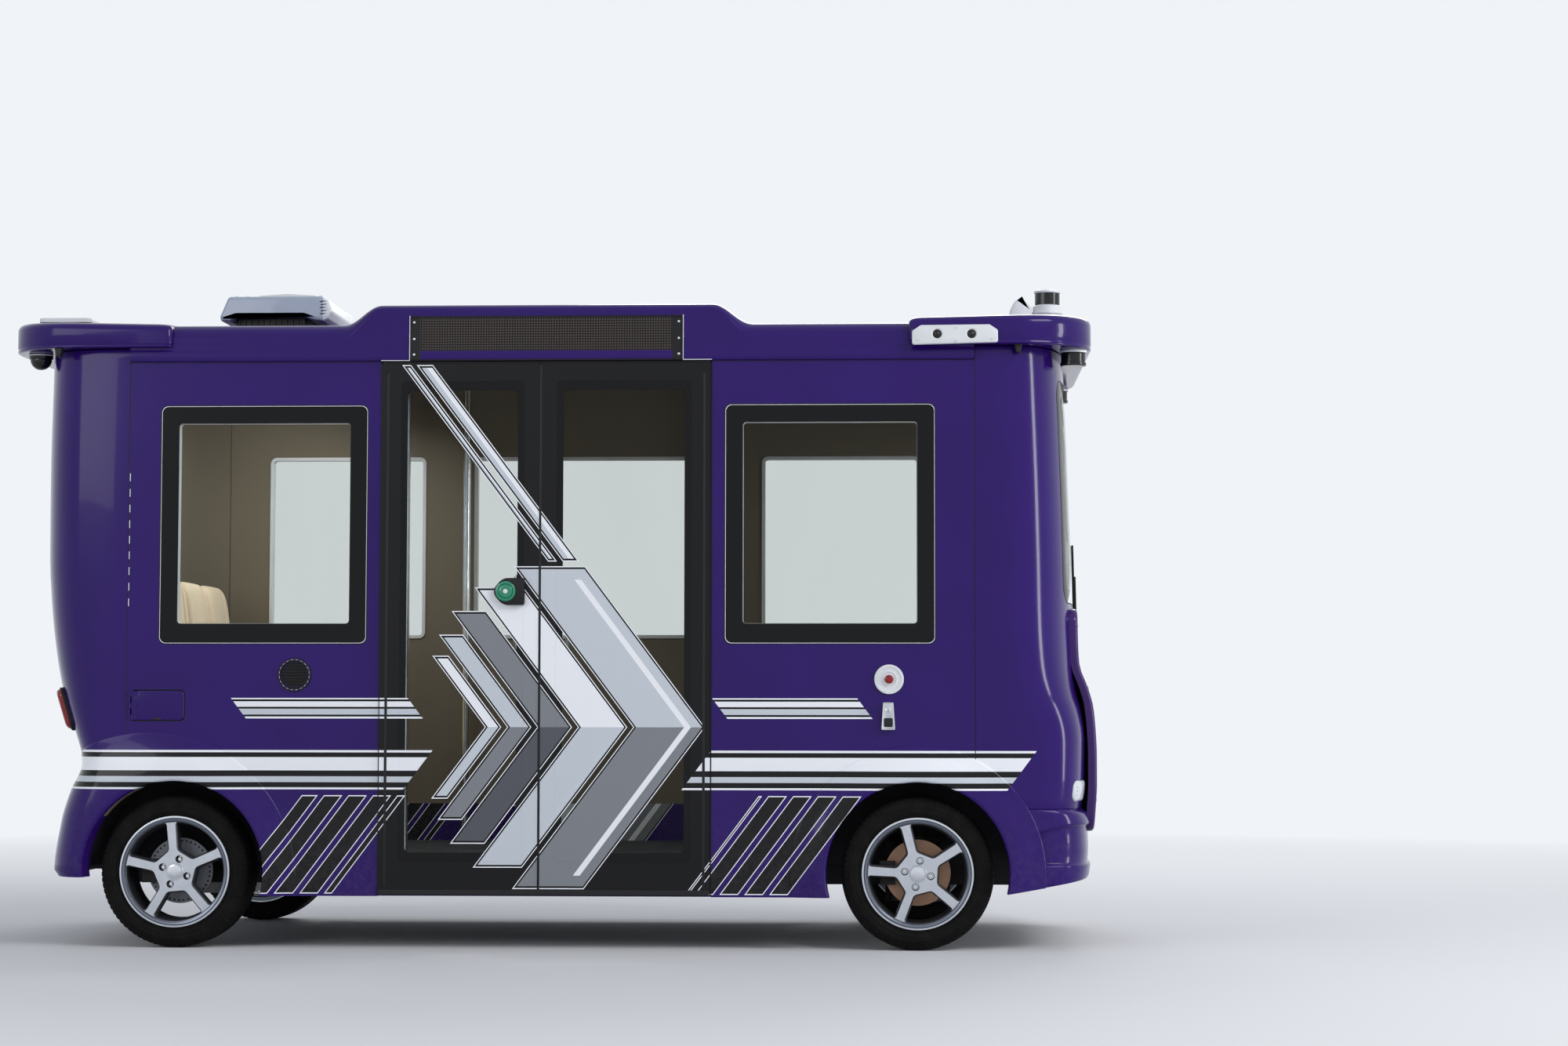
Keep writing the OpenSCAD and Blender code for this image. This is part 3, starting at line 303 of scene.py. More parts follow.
sky = Sky()
soft = sky.tree.nodes["Background"]
soft.inputs["Color"].default_value = (0.86, 0.92, 1.0, 1.0)
soft.inputs["Strength"].default_value = 0.5
shown = sky.node("ShaderNodeBackground", {}, {"Color": BACKDROP})
sides = {0: looked_at(sky), 1: Wire(sky, soft.outputs[0]), 2: shown}
both = sky.node("ShaderNodeMixShader", {}, sides)
sky.tree.links.new(both.socket, sky.tree.nodes["World Output"].inputs["Surface"])
print("backdrop strength 1, soft light strength", soft.inputs["Strength"].default_value)

# %% [markdown]
# ## The livery
#
# The bus wears printed film: violet all over, with grey, white and black bands low on its side.
# Film follows the panels, so the bands are worked out from the point on the body and not from
# each piece's own outline, and they run across door, glass and wheel arches without a break. The
# design is a plain one: nested arrowheads that point forward, and straight speed stripes. A shape
# is a distance that is negative inside, so a key line is only the same shape with a wider limit.

# %% Colours of the film
VIOLET = srgb(43, 15, 101)
WHITE = srgb(236, 238, 243)
PALE = srgb(196, 202, 210)
GREY = srgb(128, 131, 137)
SLATE = srgb(86, 88, 95)
INK = srgb(20, 20, 23)

BAND_MIDDLE, BAND_LEAN = 0.84, 0.75
KEY_WHITE, KEY_DARK = 0.011, 0.007
ARROWHEADS = [
    # tip x, width, half height, colour of the upper arm, colour of the lower arm
    (0.600, 0.250, 0.600, PALE, GREY),
    (0.305, 0.165, 0.520, WHITE, PALE),
    (0.095, 0.110, 0.430, GREY, SLATE),
    (-0.060, 0.070, 0.340, PALE, GREY),
    (-0.175, 0.040, 0.260, WHITE, PALE),
]
WIDE = [(0.05, WHITE), (0.13, INK), (0.15, PALE), (0.15, INK), (0.34, WHITE), (0.12, INK), (0.06, WHITE)]
SLIM = [(0.09, WHITE), (0.10, INK), (0.28, PALE), (0.10, INK), (0.26, WHITE), (0.10, INK), (0.07, WHITE)]
STRIPES = [
    # low, high, lean value from, to, layers from below as (share of the height, colour)
    (0.603, 0.752, -1.72, -0.36, WIDE),
    (0.603, 0.752, 0.70, 1.93, WIDE),
    (0.872, 0.950, -1.12, -0.44, SLIM),
    (0.872, 0.950, 0.72, 1.27, SLIM),
]
HATCHES = [(-0.72, -0.345), (1.02, 1.40)]
HATCH_STEP, HATCH_Z, HATCH_HALF = 0.094, 0.395, 0.175
GLINT = (0.545, 0.013, 0.56)
RISERS = [(0.570, 0.020), (0.500, 0.006)]
RISER_LOW, RISER_HIGH = 0.64, 1.372


# %% Paint the bands over any base colour
def band(value, low, high):
    """A distance that is negative between low and high."""
    return abs(value - (low + high) / 2) - (high - low) / 2


def livery(finish, base):
    """Lays the printed bands over the base colour; returns the colour and where there is print."""
    x, y, z = finish.axes()
    rise = z - BAND_MIDDLE
    lean = x + abs(rise) * BAND_LEAN
    colour, printed = base, None

    def lay(distance, fill):
        nonlocal colour, printed
        for limit, ink in ((KEY_WHITE, WHITE), (KEY_DARK, INK), (0.0, fill)):
            colour = finish.mix(distance < limit, colour, ink)
        mask = distance < KEY_WHITE
        printed = mask if printed is None else printed.most(mask)

    sideways = abs(finish.axes(finish.geometry("True Normal"))[1])
    for start, stop in HATCHES:
        inside = band(lean, start, stop).most(abs(z - HATCH_Z) - HATCH_HALF)
        bar = abs((lean * (1 / HATCH_STEP)).part() - 0.5) * HATCH_STEP - 0.024
        lay(inside.most(bar).most(0.3 - sideways), INK)
    for low, high, start, stop, layers in STRIPES:
        mask = band(lean, start, stop).most(band(z, low, high)) < 0.0
        stops = [(sum(share for share, ink in layers[:i]), ink) for i, (share, ink) in enumerate(layers)]
        layered = finish.node("ShaderNodeValToRGB", {"stops": stops}, {"Fac": finish.range(z, low, high)})
        colour = finish.mix(mask, colour, layered)
        printed = printed.most(mask)
    for tip, width, half, above, below in ARROWHEADS:
        edge = (lean - tip).most((tip - width) - lean)
        lay(edge.most(abs(rise) - half), finish.mix(rise > 0.0, below, above))
    at, half, reach = GLINT
    glint = (abs(lean - at) - half).most(abs(rise) - reach)
    colour = finish.mix(glint < 0.0, colour, WHITE)
    for at, half in RISERS:
        rising = (abs(lean - at) - half).most(band(rise, RISER_LOW, RISER_HIGH))
        lay(rising, finish.mix(lean > at, PALE, WHITE))
    return colour, printed


# %% [markdown]
# ## Finishes
#
# No real surface is one flat colour. Gloss film has a faint waviness that bends every reflection,
# moulded plastic has grain, castings are cloudy and rubber is dusty. Each finish below is a short
# function of a few noises, so that its scale can be read: 3 per metre is a wave in a panel, 900
# per metre is the grain of a plastic.

# %% Where a panel shows its inner side
LINING = srgb(116, 107, 92)
DUST = srgb(104, 98, 96)
CABIN_MIDDLE = (0, 0, 1.3)
CAPS_FROM_Z, CAPS_FROM_X = 2.289, 1.62


def inner_side(finish):
    """1 where a surface looks back towards the middle of the cabin, which is lined in warm grey."""
    x, y, z = finish.axes()
    inputs = {0: finish.place(), 1: CABIN_MIDDLE}
    outward = finish.node("ShaderNodeVectorMath", {"operation": "SUBTRACT"}, inputs)
    inputs = {0: outward, 1: finish.geometry("True Normal")}
    along = finish.node("ShaderNodeVectorMath", {"operation": "DOT_PRODUCT"}, inputs).out("Value")
    below_caps = (z < CAPS_FROM_Z).most(abs(x) < CAPS_FROM_X)
    return (along < 0.0) * (abs(y) < SIDE_Y - 0.001) * (z > 0.5) * below_caps


# %% Gloss film on the body
def film(name, colour, banded=True):
    """Violet film: the livery, a slow wave, fine orange peel and dust along the sill."""
    finish = Finish(name, Specular_IOR_Level=0.14, Coat_Roughness=0.03)
    cloud = finish.range(finish.noise(2.2, detail=2.0), 0.35, 0.65)
    base = finish.mix(cloud, colour, darker(colour, 0.86))
    if banded:
        base, _ = livery(finish, base)
    speck = finish.range(finish.noise(34.0, detail=5.0, roughness=0.7), 0.42, 0.72)
    dust = finish.range(finish.axes()[2], 0.62, 0.20) * speck * 0.14
    lined = inner_side(finish)
    finish.set(Base_Color=finish.mix(lined, finish.mix(dust, base, DUST), LINING))
    finish.set(Roughness=finish.range(dust, 0.0, 0.3, 0.17, 0.45) + lined * 0.4)
    finish.set(Coat_Weight=(1.0 - lined) * 0.16)
    wave = finish.noise(2.6, detail=1.0, stretch=(1, 1, 0.45)) * 0.9
    return finish.bump(wave + finish.noise(46.0, detail=2.0) * 0.016, 0.32, 0.010)


# %% Plain materials with their own grain
def moulded(name, colour, roughness, grain, depth, coat):
    """Moulded plastic or powder coat: fine grain, and patches a little duller than the rest."""
    finish = Finish(name, Coat_Weight=coat * 0.5, Specular_IOR_Level=0.28)
    patch = finish.noise(9.0, detail=4.0)
    finish.set(Base_Color=finish.mix(patch, darker(colour, 0.82), colour))
    finish.set(Roughness=finish.range(patch, 0.3, 0.7, roughness * 0.85, min(1.0, roughness * 1.2)))
    return finish.bump(finish.noise(grain, detail=1.0), 0.5, depth)


def metal(name, colour, roughness, grain, worn, stretch):
    """Bare or cast metal: grain drawn along an axis, with cloudy tarnish."""
    finish = Finish(name, Metallic=1.0)
    tarnish = finish.noise(14.0, detail=5.0, roughness=0.6)
    finish.set(Base_Color=finish.mix(finish.range(tarnish, 0.35, 0.8) * worn, colour, (0.05, 0.045, 0.04)))
    finish.set(Roughness=finish.range(tarnish, 0.3, 0.75, roughness * 0.8, min(1.0, roughness * 1.35)))
    return finish.bump(finish.noise(grain, detail=2.0, stretch=stretch), 0.4, 0.0004)


def rubber(name, colour):
    """Tyre rubber: matt, with a pale dust in patches."""
    finish = Finish(name, Roughness=0.75, Specular_IOR_Level=0.12)
    dust = finish.range(finish.noise(17.0, detail=6.0, roughness=0.7), 0.40, 0.78) * 0.05
    finish.set(Base_Color=finish.mix(dust, colour, srgb(104, 98, 92)))
    return finish.bump(finish.noise(420.0, detail=3.0), 0.6, 0.0005)


def cloth(name, colour):
    """Seat cover: a tight weave, which is two crossed waves, under soft shading."""
    finish = Finish(name, Roughness=0.72, Sheen_Weight=0.25)
    x, y, z = finish.axes()
    finish.set(Base_Color=finish.mix(finish.noise(6.0, detail=4.0), darker(colour, 0.88), colour))
    return finish.bump((y * 2400.0).sine() * ((x + z) * 2400.0).sine(), 0.35, 0.0004)


# %% [markdown]
# ## Glass
#
# Side glass is dark film over clear glass: one part of the light passes, tinted, one part is
# mirrored, more so at a flat angle. A see-through shader and a glossy one mixed by a Fresnel node
# say just that, and cost no caustics. The pane's far face mirrors nothing: seen from within, a
# Fresnel node would turn it into a full mirror at any angle over 40 degrees. Round every pane
# runs the black ceramic border, with a thin white key line of the livery at its very edge, and on
# the door the print runs over the glass.


# %% Distance from a rounded rectangle
def round_box(u, v, centre_u, centre_v, half_u, half_v, radius):
    """Negative inside a rectangle with round corners, in the plane of u and v."""
    across = abs(u - centre_u) - (half_u - radius)
    up = abs(v - centre_v) - (half_v - radius)
    over, above = across.most(0.0), up.most(0.0)
    return (over * over + above * above).root() + across.most(up).least(0.0) - radius


# %% Panes
def pane(name, tint, mirror, border, key_line=None, banded=False):
    """Tinted pane; border and key_line turn (x, y, z) into a distance, negative inside."""
    finish = Finish(name, Roughness=0.12, Specular_IOR_Level=0.2)
    ink, opaque = srgb(9, 9, 11), border(*finish.axes()) > 0.0
    if key_line:
        ink = finish.mix(key_line(*finish.axes()) > 0.0, ink, WHITE)
    if banded:
        ink, printed = livery(finish, ink)
        opaque = opaque.most(printed)
    finish.set(Base_Color=ink)
    see = finish.node("ShaderNodeBsdfTransparent", {}, {"Color": tint})
    shine = finish.node("ShaderNodeBsdfPrincipled", {}, {"Base Color": srgb(20, 24, 26), "Roughness": 0.02})
    facing = finish.node("ShaderNodeFresnel", {}, {"IOR": 1.55})
    streak = finish.noise(5.0, detail=3.0, stretch=(1, 1, 0.2))
    mirrored_part = facing * 0.95 + finish.range(streak, 0.3, 0.7, mirror * 0.85, mirror * 1.15)
    mask = mirrored_part * (1.0 - finish.geometry("Backfacing"))
    return finish.cover(opaque, finish.node("ShaderNodeMixShader", {}, {0: mask, 1: see, 2: shine}))


WINDOW_X, WINDOW_HALF, MIDDLE_HALF = 1.084, 0.400, 0.579
WINDOW_Z0, WINDOW_Z1 = 1.156, 2.070
FRIT_X, FRIT_LOW, FRIT_HIGH = 0.068, 0.077, 0.068
KEY = 0.004
DOOR_CLEAR = [(-0.319, 0.212), (0.299, 0.232)]


def side_windows(x, z, frit_x, frit_low, frit_high, radius):
    """The clear part of all side windows, or with a thin border nearly their whole panes."""
    middle = (WINDOW_Z0 + frit_low + WINDOW_Z1 - frit_high) / 2
    half = (WINDOW_Z1 - frit_high - WINDOW_Z0 - frit_low) / 2
    outer = round_box(abs(x), z, WINDOW_X, middle, WINDOW_HALF - frit_x, half, radius)
    return outer.least(round_box(x, z, 0.0, middle, MIDDLE_HALF - frit_x, half, radius))


def door_windows(x, y, z):
    """The clear part of both leaves: middle x, half width, inside a black border."""
    rear, front = [round_box(x, z, centre, 1.2455, half, 0.880, 0.018) for centre, half in DOOR_CLEAR]
    return rear.least(front)


def end_window(middle_z, half_y, half_z):
    return lambda x, y, z: round_box(y, z, 0.0, middle_z, half_y, half_z, 0.05)


glass_tint = (0.945, 0.960, 0.948)
side_pane = pane(
    "side_pane",
    glass_tint,
    0.05,
    border=lambda x, y, z: side_windows(x, z, FRIT_X, FRIT_LOW, FRIT_HIGH, 0.014),
    key_line=lambda x, y, z: side_windows(x, z, KEY, KEY, KEY, 0.024),
)
door_pane = pane("door_pane", glass_tint, 0.06, door_windows, banded=True)
screen_pane = pane("screen_pane", (0.95, 0.965, 0.96), 0.04, end_window(1.75, 0.635, 0.375))
rear_pane = pane("rear_pane", (0.93, 0.95, 0.95), 0.05, end_window(1.72, 0.565, 0.305))

# %% [markdown]
# Brake discs are turned, so their finish is written in radius and angle round their own axle. The
# front ones have rusted to a copper tone, and the rear ones are steel with a ring of holes, which
# are not cut but painted as near-black spots of painted shade.


# %% Brake discs
def wheel_polar(finish):
    """Radius and angle round the nearest axle, seen along the bus's width."""
    x, _, z = finish.axes()
    along, up = abs(x) - AXLE_X, z - HUB_Z
    return (along * along + up * up).root(), up.math("ARCTAN2", up, along)


def clouded(finish, scale, detail, low, high):
    """One colour that drifts into another."""
    return finish.mix(finish.noise(scale, detail=detail), srgb(*low), srgb(*high))


disc = Finish("disc_iron", Metallic=0.3, Roughness=0.5)
radius, angle = wheel_polar(disc)
# Painted shade: a ring of near-black spots stands for the drilled holes, which are not cut.
painted_hole_shade = (abs(radius - 0.114) < 0.0035) * ((angle * 40.0).sine() > 0.1)
rust = clouded(disc, 30.0, 5.0, (168, 128, 102), (196, 156, 130))
steel_with_hole_shade = disc.mix(painted_hole_shade, clouded(disc, 40.0, 4.0, (112, 115, 122), (140, 142, 148)), srgb(14, 14, 15))
disc.set(Base_Color=disc.mix(disc.axes()[0] > 0.0, steel_with_hole_shade, rust))
disc_finish_with_hole_shade = disc.bump((radius * 2600.0).sine(), 0.3, 0.0003)

# %% Make every finish once
MOULDED = [
    # name, colour, roughness, grain per metre, depth of the grain, coat
    ("frame_black", (30, 30, 33), 0.55, 500, 0.00025, 0.0),
    ("underbody", (50, 50, 54), 0.75, 260, 0.0008, 0.0),
    ("sign_black", (14, 14, 16), 0.42, 900, 0.00025, 0.0),
    ("door_black", (17, 17, 20), 0.28, 900, 0.00025, 0.4),
    ("silver_cover", (176, 186, 200), 0.32, 700, 0.00025, 0.3),
    ("sensor_white", (226, 228, 231), 0.38, 900, 0.00025, 0.0),
    ("sensor_black", (16, 16, 18), 0.22, 900, 0.00025, 0.5),
    ("lamp_clear", (216, 220, 226), 0.12, 900, 0.00025, 0.8),
    ("lamp_red", (140, 10, 14), 0.14, 160, 0.0015, 0.8),
    ("black_plastic", (19, 19, 21), 0.45, 900, 0.00025, 0.0),
]
METALS = [
    # name, colour, roughness, grain per metre, tarnish, stretch of the grain
    ("battery_case", (96, 99, 104), 0.5, 300, 0.15, (0.1, 1, 1)),
    ("cast_alloy", (150, 150, 152), 0.48, 480, 0.15, (1, 1, 1)),
    ("axle_iron", (52, 51, 52), 0.6, 380, 0.5, (1, 1, 1)),
    ("pole_steel", (206, 209, 213), 0.2, 300, 0.15, (1, 1, 0.05)),
    ("latch_chrome", (214, 217, 222), 0.14, 300, 0.08, (1, 1, 1)),
    ("alloy_wheel", (196, 201, 208), 0.27, 900, 0.1, (1, 1, 1)),
]
MATERIALS = {
    "body_violet": film("body_violet", VIOLET),
    # The nose panel wears the same violet film as the body; its lighter violet here is a painted highlight for the
    # grazing light on the nose.
    "nose_violet": film("nose_violet", srgb(60, 34, 100), banded=False),
    "tinted_glass": side_pane,
    "seat_beige": cloth("seat_beige", srgb(238, 217, 184)),
    "tyre": rubber("tyre", srgb(9, 9, 10)),
    "disc_iron": disc_finish_with_hole_shade,
}
for kind, rows in ((moulded, MOULDED), (metal, METALS)):
    for name, colour, *rest in rows:
        MATERIALS[name] = kind(name, srgb(*colour), *rest)

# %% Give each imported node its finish
door_film = Finish("door_film", Roughness=0.3, Specular_IOR_Level=0.22)
door_film.set(Base_Color=livery(door_film, srgb(14, 14, 17))[0])
leaf_finish = door_film.bump(door_film.noise(900.0, detail=1.0), 0.4, 0.0002)
BY_NODE = {"door_leaf_rear": leaf_finish, "door_leaf_front": leaf_finish, "door_glass": door_pane}
for part in frame["record"]["subparts"]:
    mesh = nodes[part["node"]].data
    mesh.materials.clear()
    mesh.materials.append(BY_NODE.get(part["node"], MATERIALS[part["material_slot"]]))

# %% [markdown]
# A cast wheel has two tones: its machined face is bright, and the sides of the spokes are dark.
# The surface's own direction tells them apart, because the face looks straight out of
# the bus. On the rim the radius paints shade: mid grey painted shade in the concave hollow behind
# the bright lip, and darker painted shade over the barrel inside it.

# %% Two tones for the spokes, and painted shade on the rims
BRIGHT = ((196, 201, 208), (214, 218, 224))
SHADED_HOLLOW_FROM, SHADED_HOLLOW_TO = 0.1885, 0.2045

spoke = Finish("spoke_alloy", Metallic=0.9)
outer = spoke.range(abs(spoke.axes(spoke.geometry("Normal"))[1]), 0.80, 0.97)
face = clouded(spoke, 24.0, 4.0, (186, 191, 199), (206, 210, 217))
spoke.set(Base_Color=spoke.mix(outer, srgb(92, 94, 100), face))
spoke.set(Roughness=spoke.range(outer, 0.0, 1.0, 0.46, 0.25))
spoke_finish = spoke.bump(spoke.noise(900.0, detail=1.0), 0.3, 0.0002)

wreath = Finish("wreath_alloy_painted_shade", Metallic=0.85)
radius, _ = wheel_polar(wreath)
# Painted shade: the barrel inside the hollow is dark grey, and the concave band behind the lip is mid grey.
inside = radius < SHADED_HOLLOW_FROM
bright = clouded(wreath, 30.0, 3.0, *BRIGHT)
lip_and_hollow_shade = wreath.mix((radius > SHADED_HOLLOW_FROM) * (radius < SHADED_HOLLOW_TO), bright, srgb(112, 118, 130))
wreath.set(Base_Color=wreath.mix(inside, lip_and_hollow_shade, srgb(74, 77, 84)))
wreath.set(Roughness=wreath.range(inside, 0.0, 1.0, 0.24, 0.42))
wreath_painted_shade_finish = wreath.bump(wreath.noise(900.0, detail=1.0), 0.3, 0.0002)

# %% [markdown]
# The cooling unit's cover has a whiter end. The sign shows nothing, so its face is a plain grid
# of dark dots a centimetre apart. The cell of a point is its fraction of a pitch, and a dot is
# what lies close to the middle of a cell.

# %% Cooling unit, sign and the green of the button
COOLER_WHITE_X = -0.985
DOTS_PER_METRE = 100.0

cooler = Finish("cooler_paint", Roughness=0.34, Coat_Weight=0.3)
silver = clouded(cooler, 9.0, 3.0, (152, 163, 182), (168, 178, 196))
cooler.set(Base_Color=cooler.mix(cooler.axes()[0] > COOLER_WHITE_X, silver, srgb(222, 225, 229)))
cooler_finish = cooler.bump(cooler.noise(800.0, detail=1.0), 0.4, 0.0002)

matrix = Finish("sign_dots", Specular_IOR_Level=0.25)
cell_x, _, cell_z = [(axis * DOTS_PER_METRE).part() - 0.5 for axis in matrix.axes()]
dot = (cell_x * cell_x + cell_z * cell_z).root() < 0.30
matrix.set(Base_Color=matrix.mix(dot, srgb(10, 10, 12), srgb(84, 72, 66)))
matrix.set(Roughness=matrix.range(dot, 0.0, 1.0, 0.45, 0.2))
matrix_finish = matrix.bump(dot, 0.4, 0.0004)

green = Finish("button_green", Roughness=0.2, Coat_Weight=0.4)
green.set(Base_Color=clouded(green, 60.0, 3.0, (6, 116, 84), (12, 138, 102)))
green_finish = green.bump(green.noise(500.0, detail=1.0), 0.3, 0.0002)

# %% [markdown]
# ## Tools for making pieces
#
# A few generic forms make nearly every piece of the bus. A *skin* stretches faces over closed
# loops of points. A *plate* is a closed form over an outline: its edge runs through levels, which
# are pairs of inset and height, so that one list says how an edge is rounded. A *shell* is a
# closed sheet between two grids of points. A place puts an outline on a flat side or on a curved
# moulding, and `build` makes one piece of the bus from a row of plates.


# %% Finish a mesh and hand it over
def stand(name, bm):
    """An object from a closed bmesh, with every face turned outwards."""
    bmesh.ops.recalc_face_normals(bm, faces=bm.faces)
    mesh = bpy.data.meshes.new(name)
    bm.to_mesh(mesh)
    bm.free()
    piece = bpy.data.objects.new(name, mesh)
    scene.collection.objects.link(piece)
    return piece


def shade(piece, sharp):
    """Smooth shading, with edges sharper than an angle in degrees kept crisp."""
    piece.data.shade_smooth()
    piece.data.set_sharp_from_angle(angle=math.radians(sharp))
    return piece


def make_piece(name, bm, slot, replaces=(), body="bus", sharp=35.0, finish=None):
    """Turns a bmesh into a piece with its finish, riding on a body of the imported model."""
    bmesh.ops.remove_doubles(bm, verts=bm.verts, dist=2e-5)
    piece = shade(stand(name, bm), sharp)
    piece.data.materials.append(finish or MATERIALS[slot])
    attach(piece, body)
    if replaces:
        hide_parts(*replaces)
    return piece


def settle(piece, sharp):
    """Makes what the modifiers show the piece's own mesh."""
    graph = bpy.context.evaluated_depsgraph_get()
    old, piece.data = piece.data, bpy.data.meshes.new_from_object(piece.evaluated_get(graph))
    piece.modifiers.clear()
    bpy.data.meshes.remove(old)
    return shade(piece, sharp)


def carve(piece, bm, sharp=35.0):
    """Cuts a closed mesh out of a piece."""
    cutter = stand("cutter", bm)
    modifier = piece.modifiers.new("cut", "BOOLEAN")
    modifier.operation, modifier.object, modifier.solver = "DIFFERENCE", cutter, "EXACT"
    settle(piece, sharp)
    bpy.data.meshes.remove(cutter.data)
    return piece


# %% Outlines
def polar(radius, degrees, cu=0.0, cv=0.0):
    turn = math.radians(degrees)
    return cu + radius * math.cos(turn), cv + radius * math.sin(turn)


def around(count, start, radius, cu=0.0, cv=0.0):
    """Points evenly spaced on a circle."""
    return [polar(radius, start + 360 * i / count, cu, cv) for i in range(count)]


def circle(cu, cv, radius, steps=48):
    return around(steps, 0.0, radius, cu, cv)


def rounded(u0, v0, u1, v1, radius, steps=8):
    """Rectangle with round corners, counterclockwise."""
    points = []
    for u, v, start in ((u1 - radius, v0 + radius, 270), (u1 - radius, v1 - radius, 0),
                        (u0 + radius, v1 - radius, 90), (u0 + radius, v0 + radius, 180)):
        points += [polar(radius, start + 90 * i / steps, u, v) for i in range(steps + 1)]
    return points


def bar(u, v, half_u, half_v, radius, steps=2):
    """The same, from its middle."""
    return rounded(u - half_u, v - half_v, u + half_u, v + half_v, radius, steps)


def fillet(corners, steps=6):
    """Counterclockwise corners (u, v, radius), each rounded off by its radius."""
    points = []
    for i, (u, v, radius) in enumerate(corners):
        here, sides = Vector((u, v)), (corners[i - 1], corners[(i + 1) % len(corners)])
        a, b = [Vector((s - u, t - v)).normalized() for s, t, _ in sides]
        half = a.angle(b) / 2
        if radius <= 0 or half > 1.55:
            points.append((u, v))
            continue
        centre = here + (a + b).normalized() * (radius / math.sin(half))
        start, stop = [here + arm * (radius / math.tan(half)) - centre for arm in (a, b)]
        for k in range(steps + 1):
            way = start * (1 - k / steps) + stop * (k / steps)
            points.append(tuple(centre + way.normalized() * radius))
    return points


def inset(outline, distance):
    """Moves a counterclockwise outline inwards along its own normals."""
    moved = []
    for i, (u, v) in enumerate(outline):
        before, after = outline[i - 1], outline[(i + 1) % len(outline)]
        du, dv = after[0] - before[0], after[1] - before[1]
        k = distance / (math.hypot(du, dv) or 1.0)
        moved.append((u - dv * k, v + du * k))
    return moved


def dense(outline, step, least=1):
    """More points on long edges, so that a piece can follow a curved wall."""
    fine = []
    for (u, v), (s, t) in zip(outline, outline[1:] + outline[:1]):
        parts = max(least, int(math.hypot(s - u, t - v) / step))
        fine += [(u + (s - u) * k / parts, v + (t - v) * k / parts) for k in range(parts)]
    return fine


# %% Skins, plates and shells
def join(bm, first, second):
    """A band of faces between two closed loops."""
    for i in range(len(first)):
        bm.faces.new((first[i - 1], first[i], second[i], second[i - 1]))


def skin(bm, rows, ends=True, wreath=False):
    """Faces over closed rows of points: a solid with two ends, or a wreath that bites its tail."""
    loops = [[bm.verts.new(point) for point in row] for row in rows]
    for first, second in zip(loops, loops[1:] + loops[:wreath]):
        join(bm, first, second)
    for loop in (loops[0], loops[-1]) if ends and not wreath else ():
        bm.faces.new(loop)
    return loops


def plate(bm, outline, levels, place, rings=0, hollow=False):
    """Closed form over an outline; levels are (inset, out) from the front's middle to the back's.
    With rings its two faces follow a curved place. A hollow one is a frame."""
    rows = [[place(u, v, out) for u, v in inset(outline, distance)] for distance, out in levels]
    loops = skin(bm, rows, ends=not rings, wreath=hollow)
    for last, (distance, out) in ((loops[0], levels[0]), (loops[-1], levels[-1])) if rings else ():
        edge = inset(outline, distance)
        middle_u, middle_v = [sum(values) / len(edge) for values in zip(*edge)]
        for k in range(rings - 1, 0, -1):
            points = [(middle_u + (u - middle_u) * k / rings, middle_v + (v - middle_v) * k / rings) for u, v in edge]
            loop = [bm.verts.new(place(u, v, out)) for u, v in points]
            join(bm, last, loop)
            last = loop
        centre = bm.verts.new(place(middle_u, middle_v, out))
        for i in range(len(last)):
            bm.faces.new((last[i - 1], last[i], centre))
    return bm


def shell(bm, outer, inner):
    """Closed sheet between two grids of points that have one size."""
    sheets = [[[bm.verts.new(p) for p in row] for row in grid] for grid in (outer, inner)]
    rows, columns = len(outer), len(outer[0])
    for sheet in sheets:
        for j in range(rows - 1):
            for i in range(columns - 1):
                bm.faces.new((sheet[j][i], sheet[j][i + 1], sheet[j + 1][i + 1], sheet[j + 1][i]))
    border = [(0, i) for i in range(columns)] + [(j, columns - 1) for j in range(1, rows)]
    border += [(rows - 1, i) for i in range(columns - 2, -1, -1)] + [(j, 0) for j in range(rows - 2, 0, -1)]
    for (j, i), (k, m) in zip(border, border[1:] + border[:1]):
        bm.faces.new((sheets[0][j][i], sheets[0][k][m], sheets[1][k][m], sheets[1][j][i]))
    return bm


def mirrored(bm):
    """Adds the mirror image of everything in the mesh, over the middle of the bus."""
    copied = bmesh.ops.duplicate(bm, geom=bm.verts[:] + bm.edges[:] + bm.faces[:])["geom"]
    for vert in copied:
        if isinstance(vert, bmesh.types.BMVert):
            vert.co.y = -vert.co.y
    return bm


# %% Pieces from plates
HOLLOW = (0, True)


def plates(rows, both=False):
    """One mesh from rows of plate's own arguments; both adds the mirror image."""
    bm = bmesh.new()
    for row in rows:
        plate(bm, *row)
    return mirrored(bm) if both else bm


def build(name, slot, replaces, *rows, both=False, **options):
    return make_piece(name, plates(rows, both), slot, replaces, **options)


def discs(points, radius, steps, levels, place):
    """Rows for the same round plate at several points."""
    return [(circle(u, v, radius, steps), levels, place) for u, v in points]


def lip(bevel, top, *lower):
    """Levels of an edge that is broken by one bevel."""
    return [(bevel, top)] + [(0.0, out) for out in lower]


def prism(outline, place, low, high):
    return plate(bmesh.new(), outline, [(0, high), (0, low)], place)


# %% Places for plates
def on_right(x, z, out):
    return Vector((x, -(SIDE_Y + out), z))


def on_left(x, z, out):
    return Vector((x, SIDE_Y + out, z))


def on_level(base):
    """A place on a level surface at the height base."""
    return lambda x, y, out: Vector((x, y, base + out))


def along_y(x, z, out):
    """A place for outlines seen from the side, where out is the reach to the left."""
    return Vector((x, out, z))


def along_x(y, z, out):
    return Vector((out, y, z))


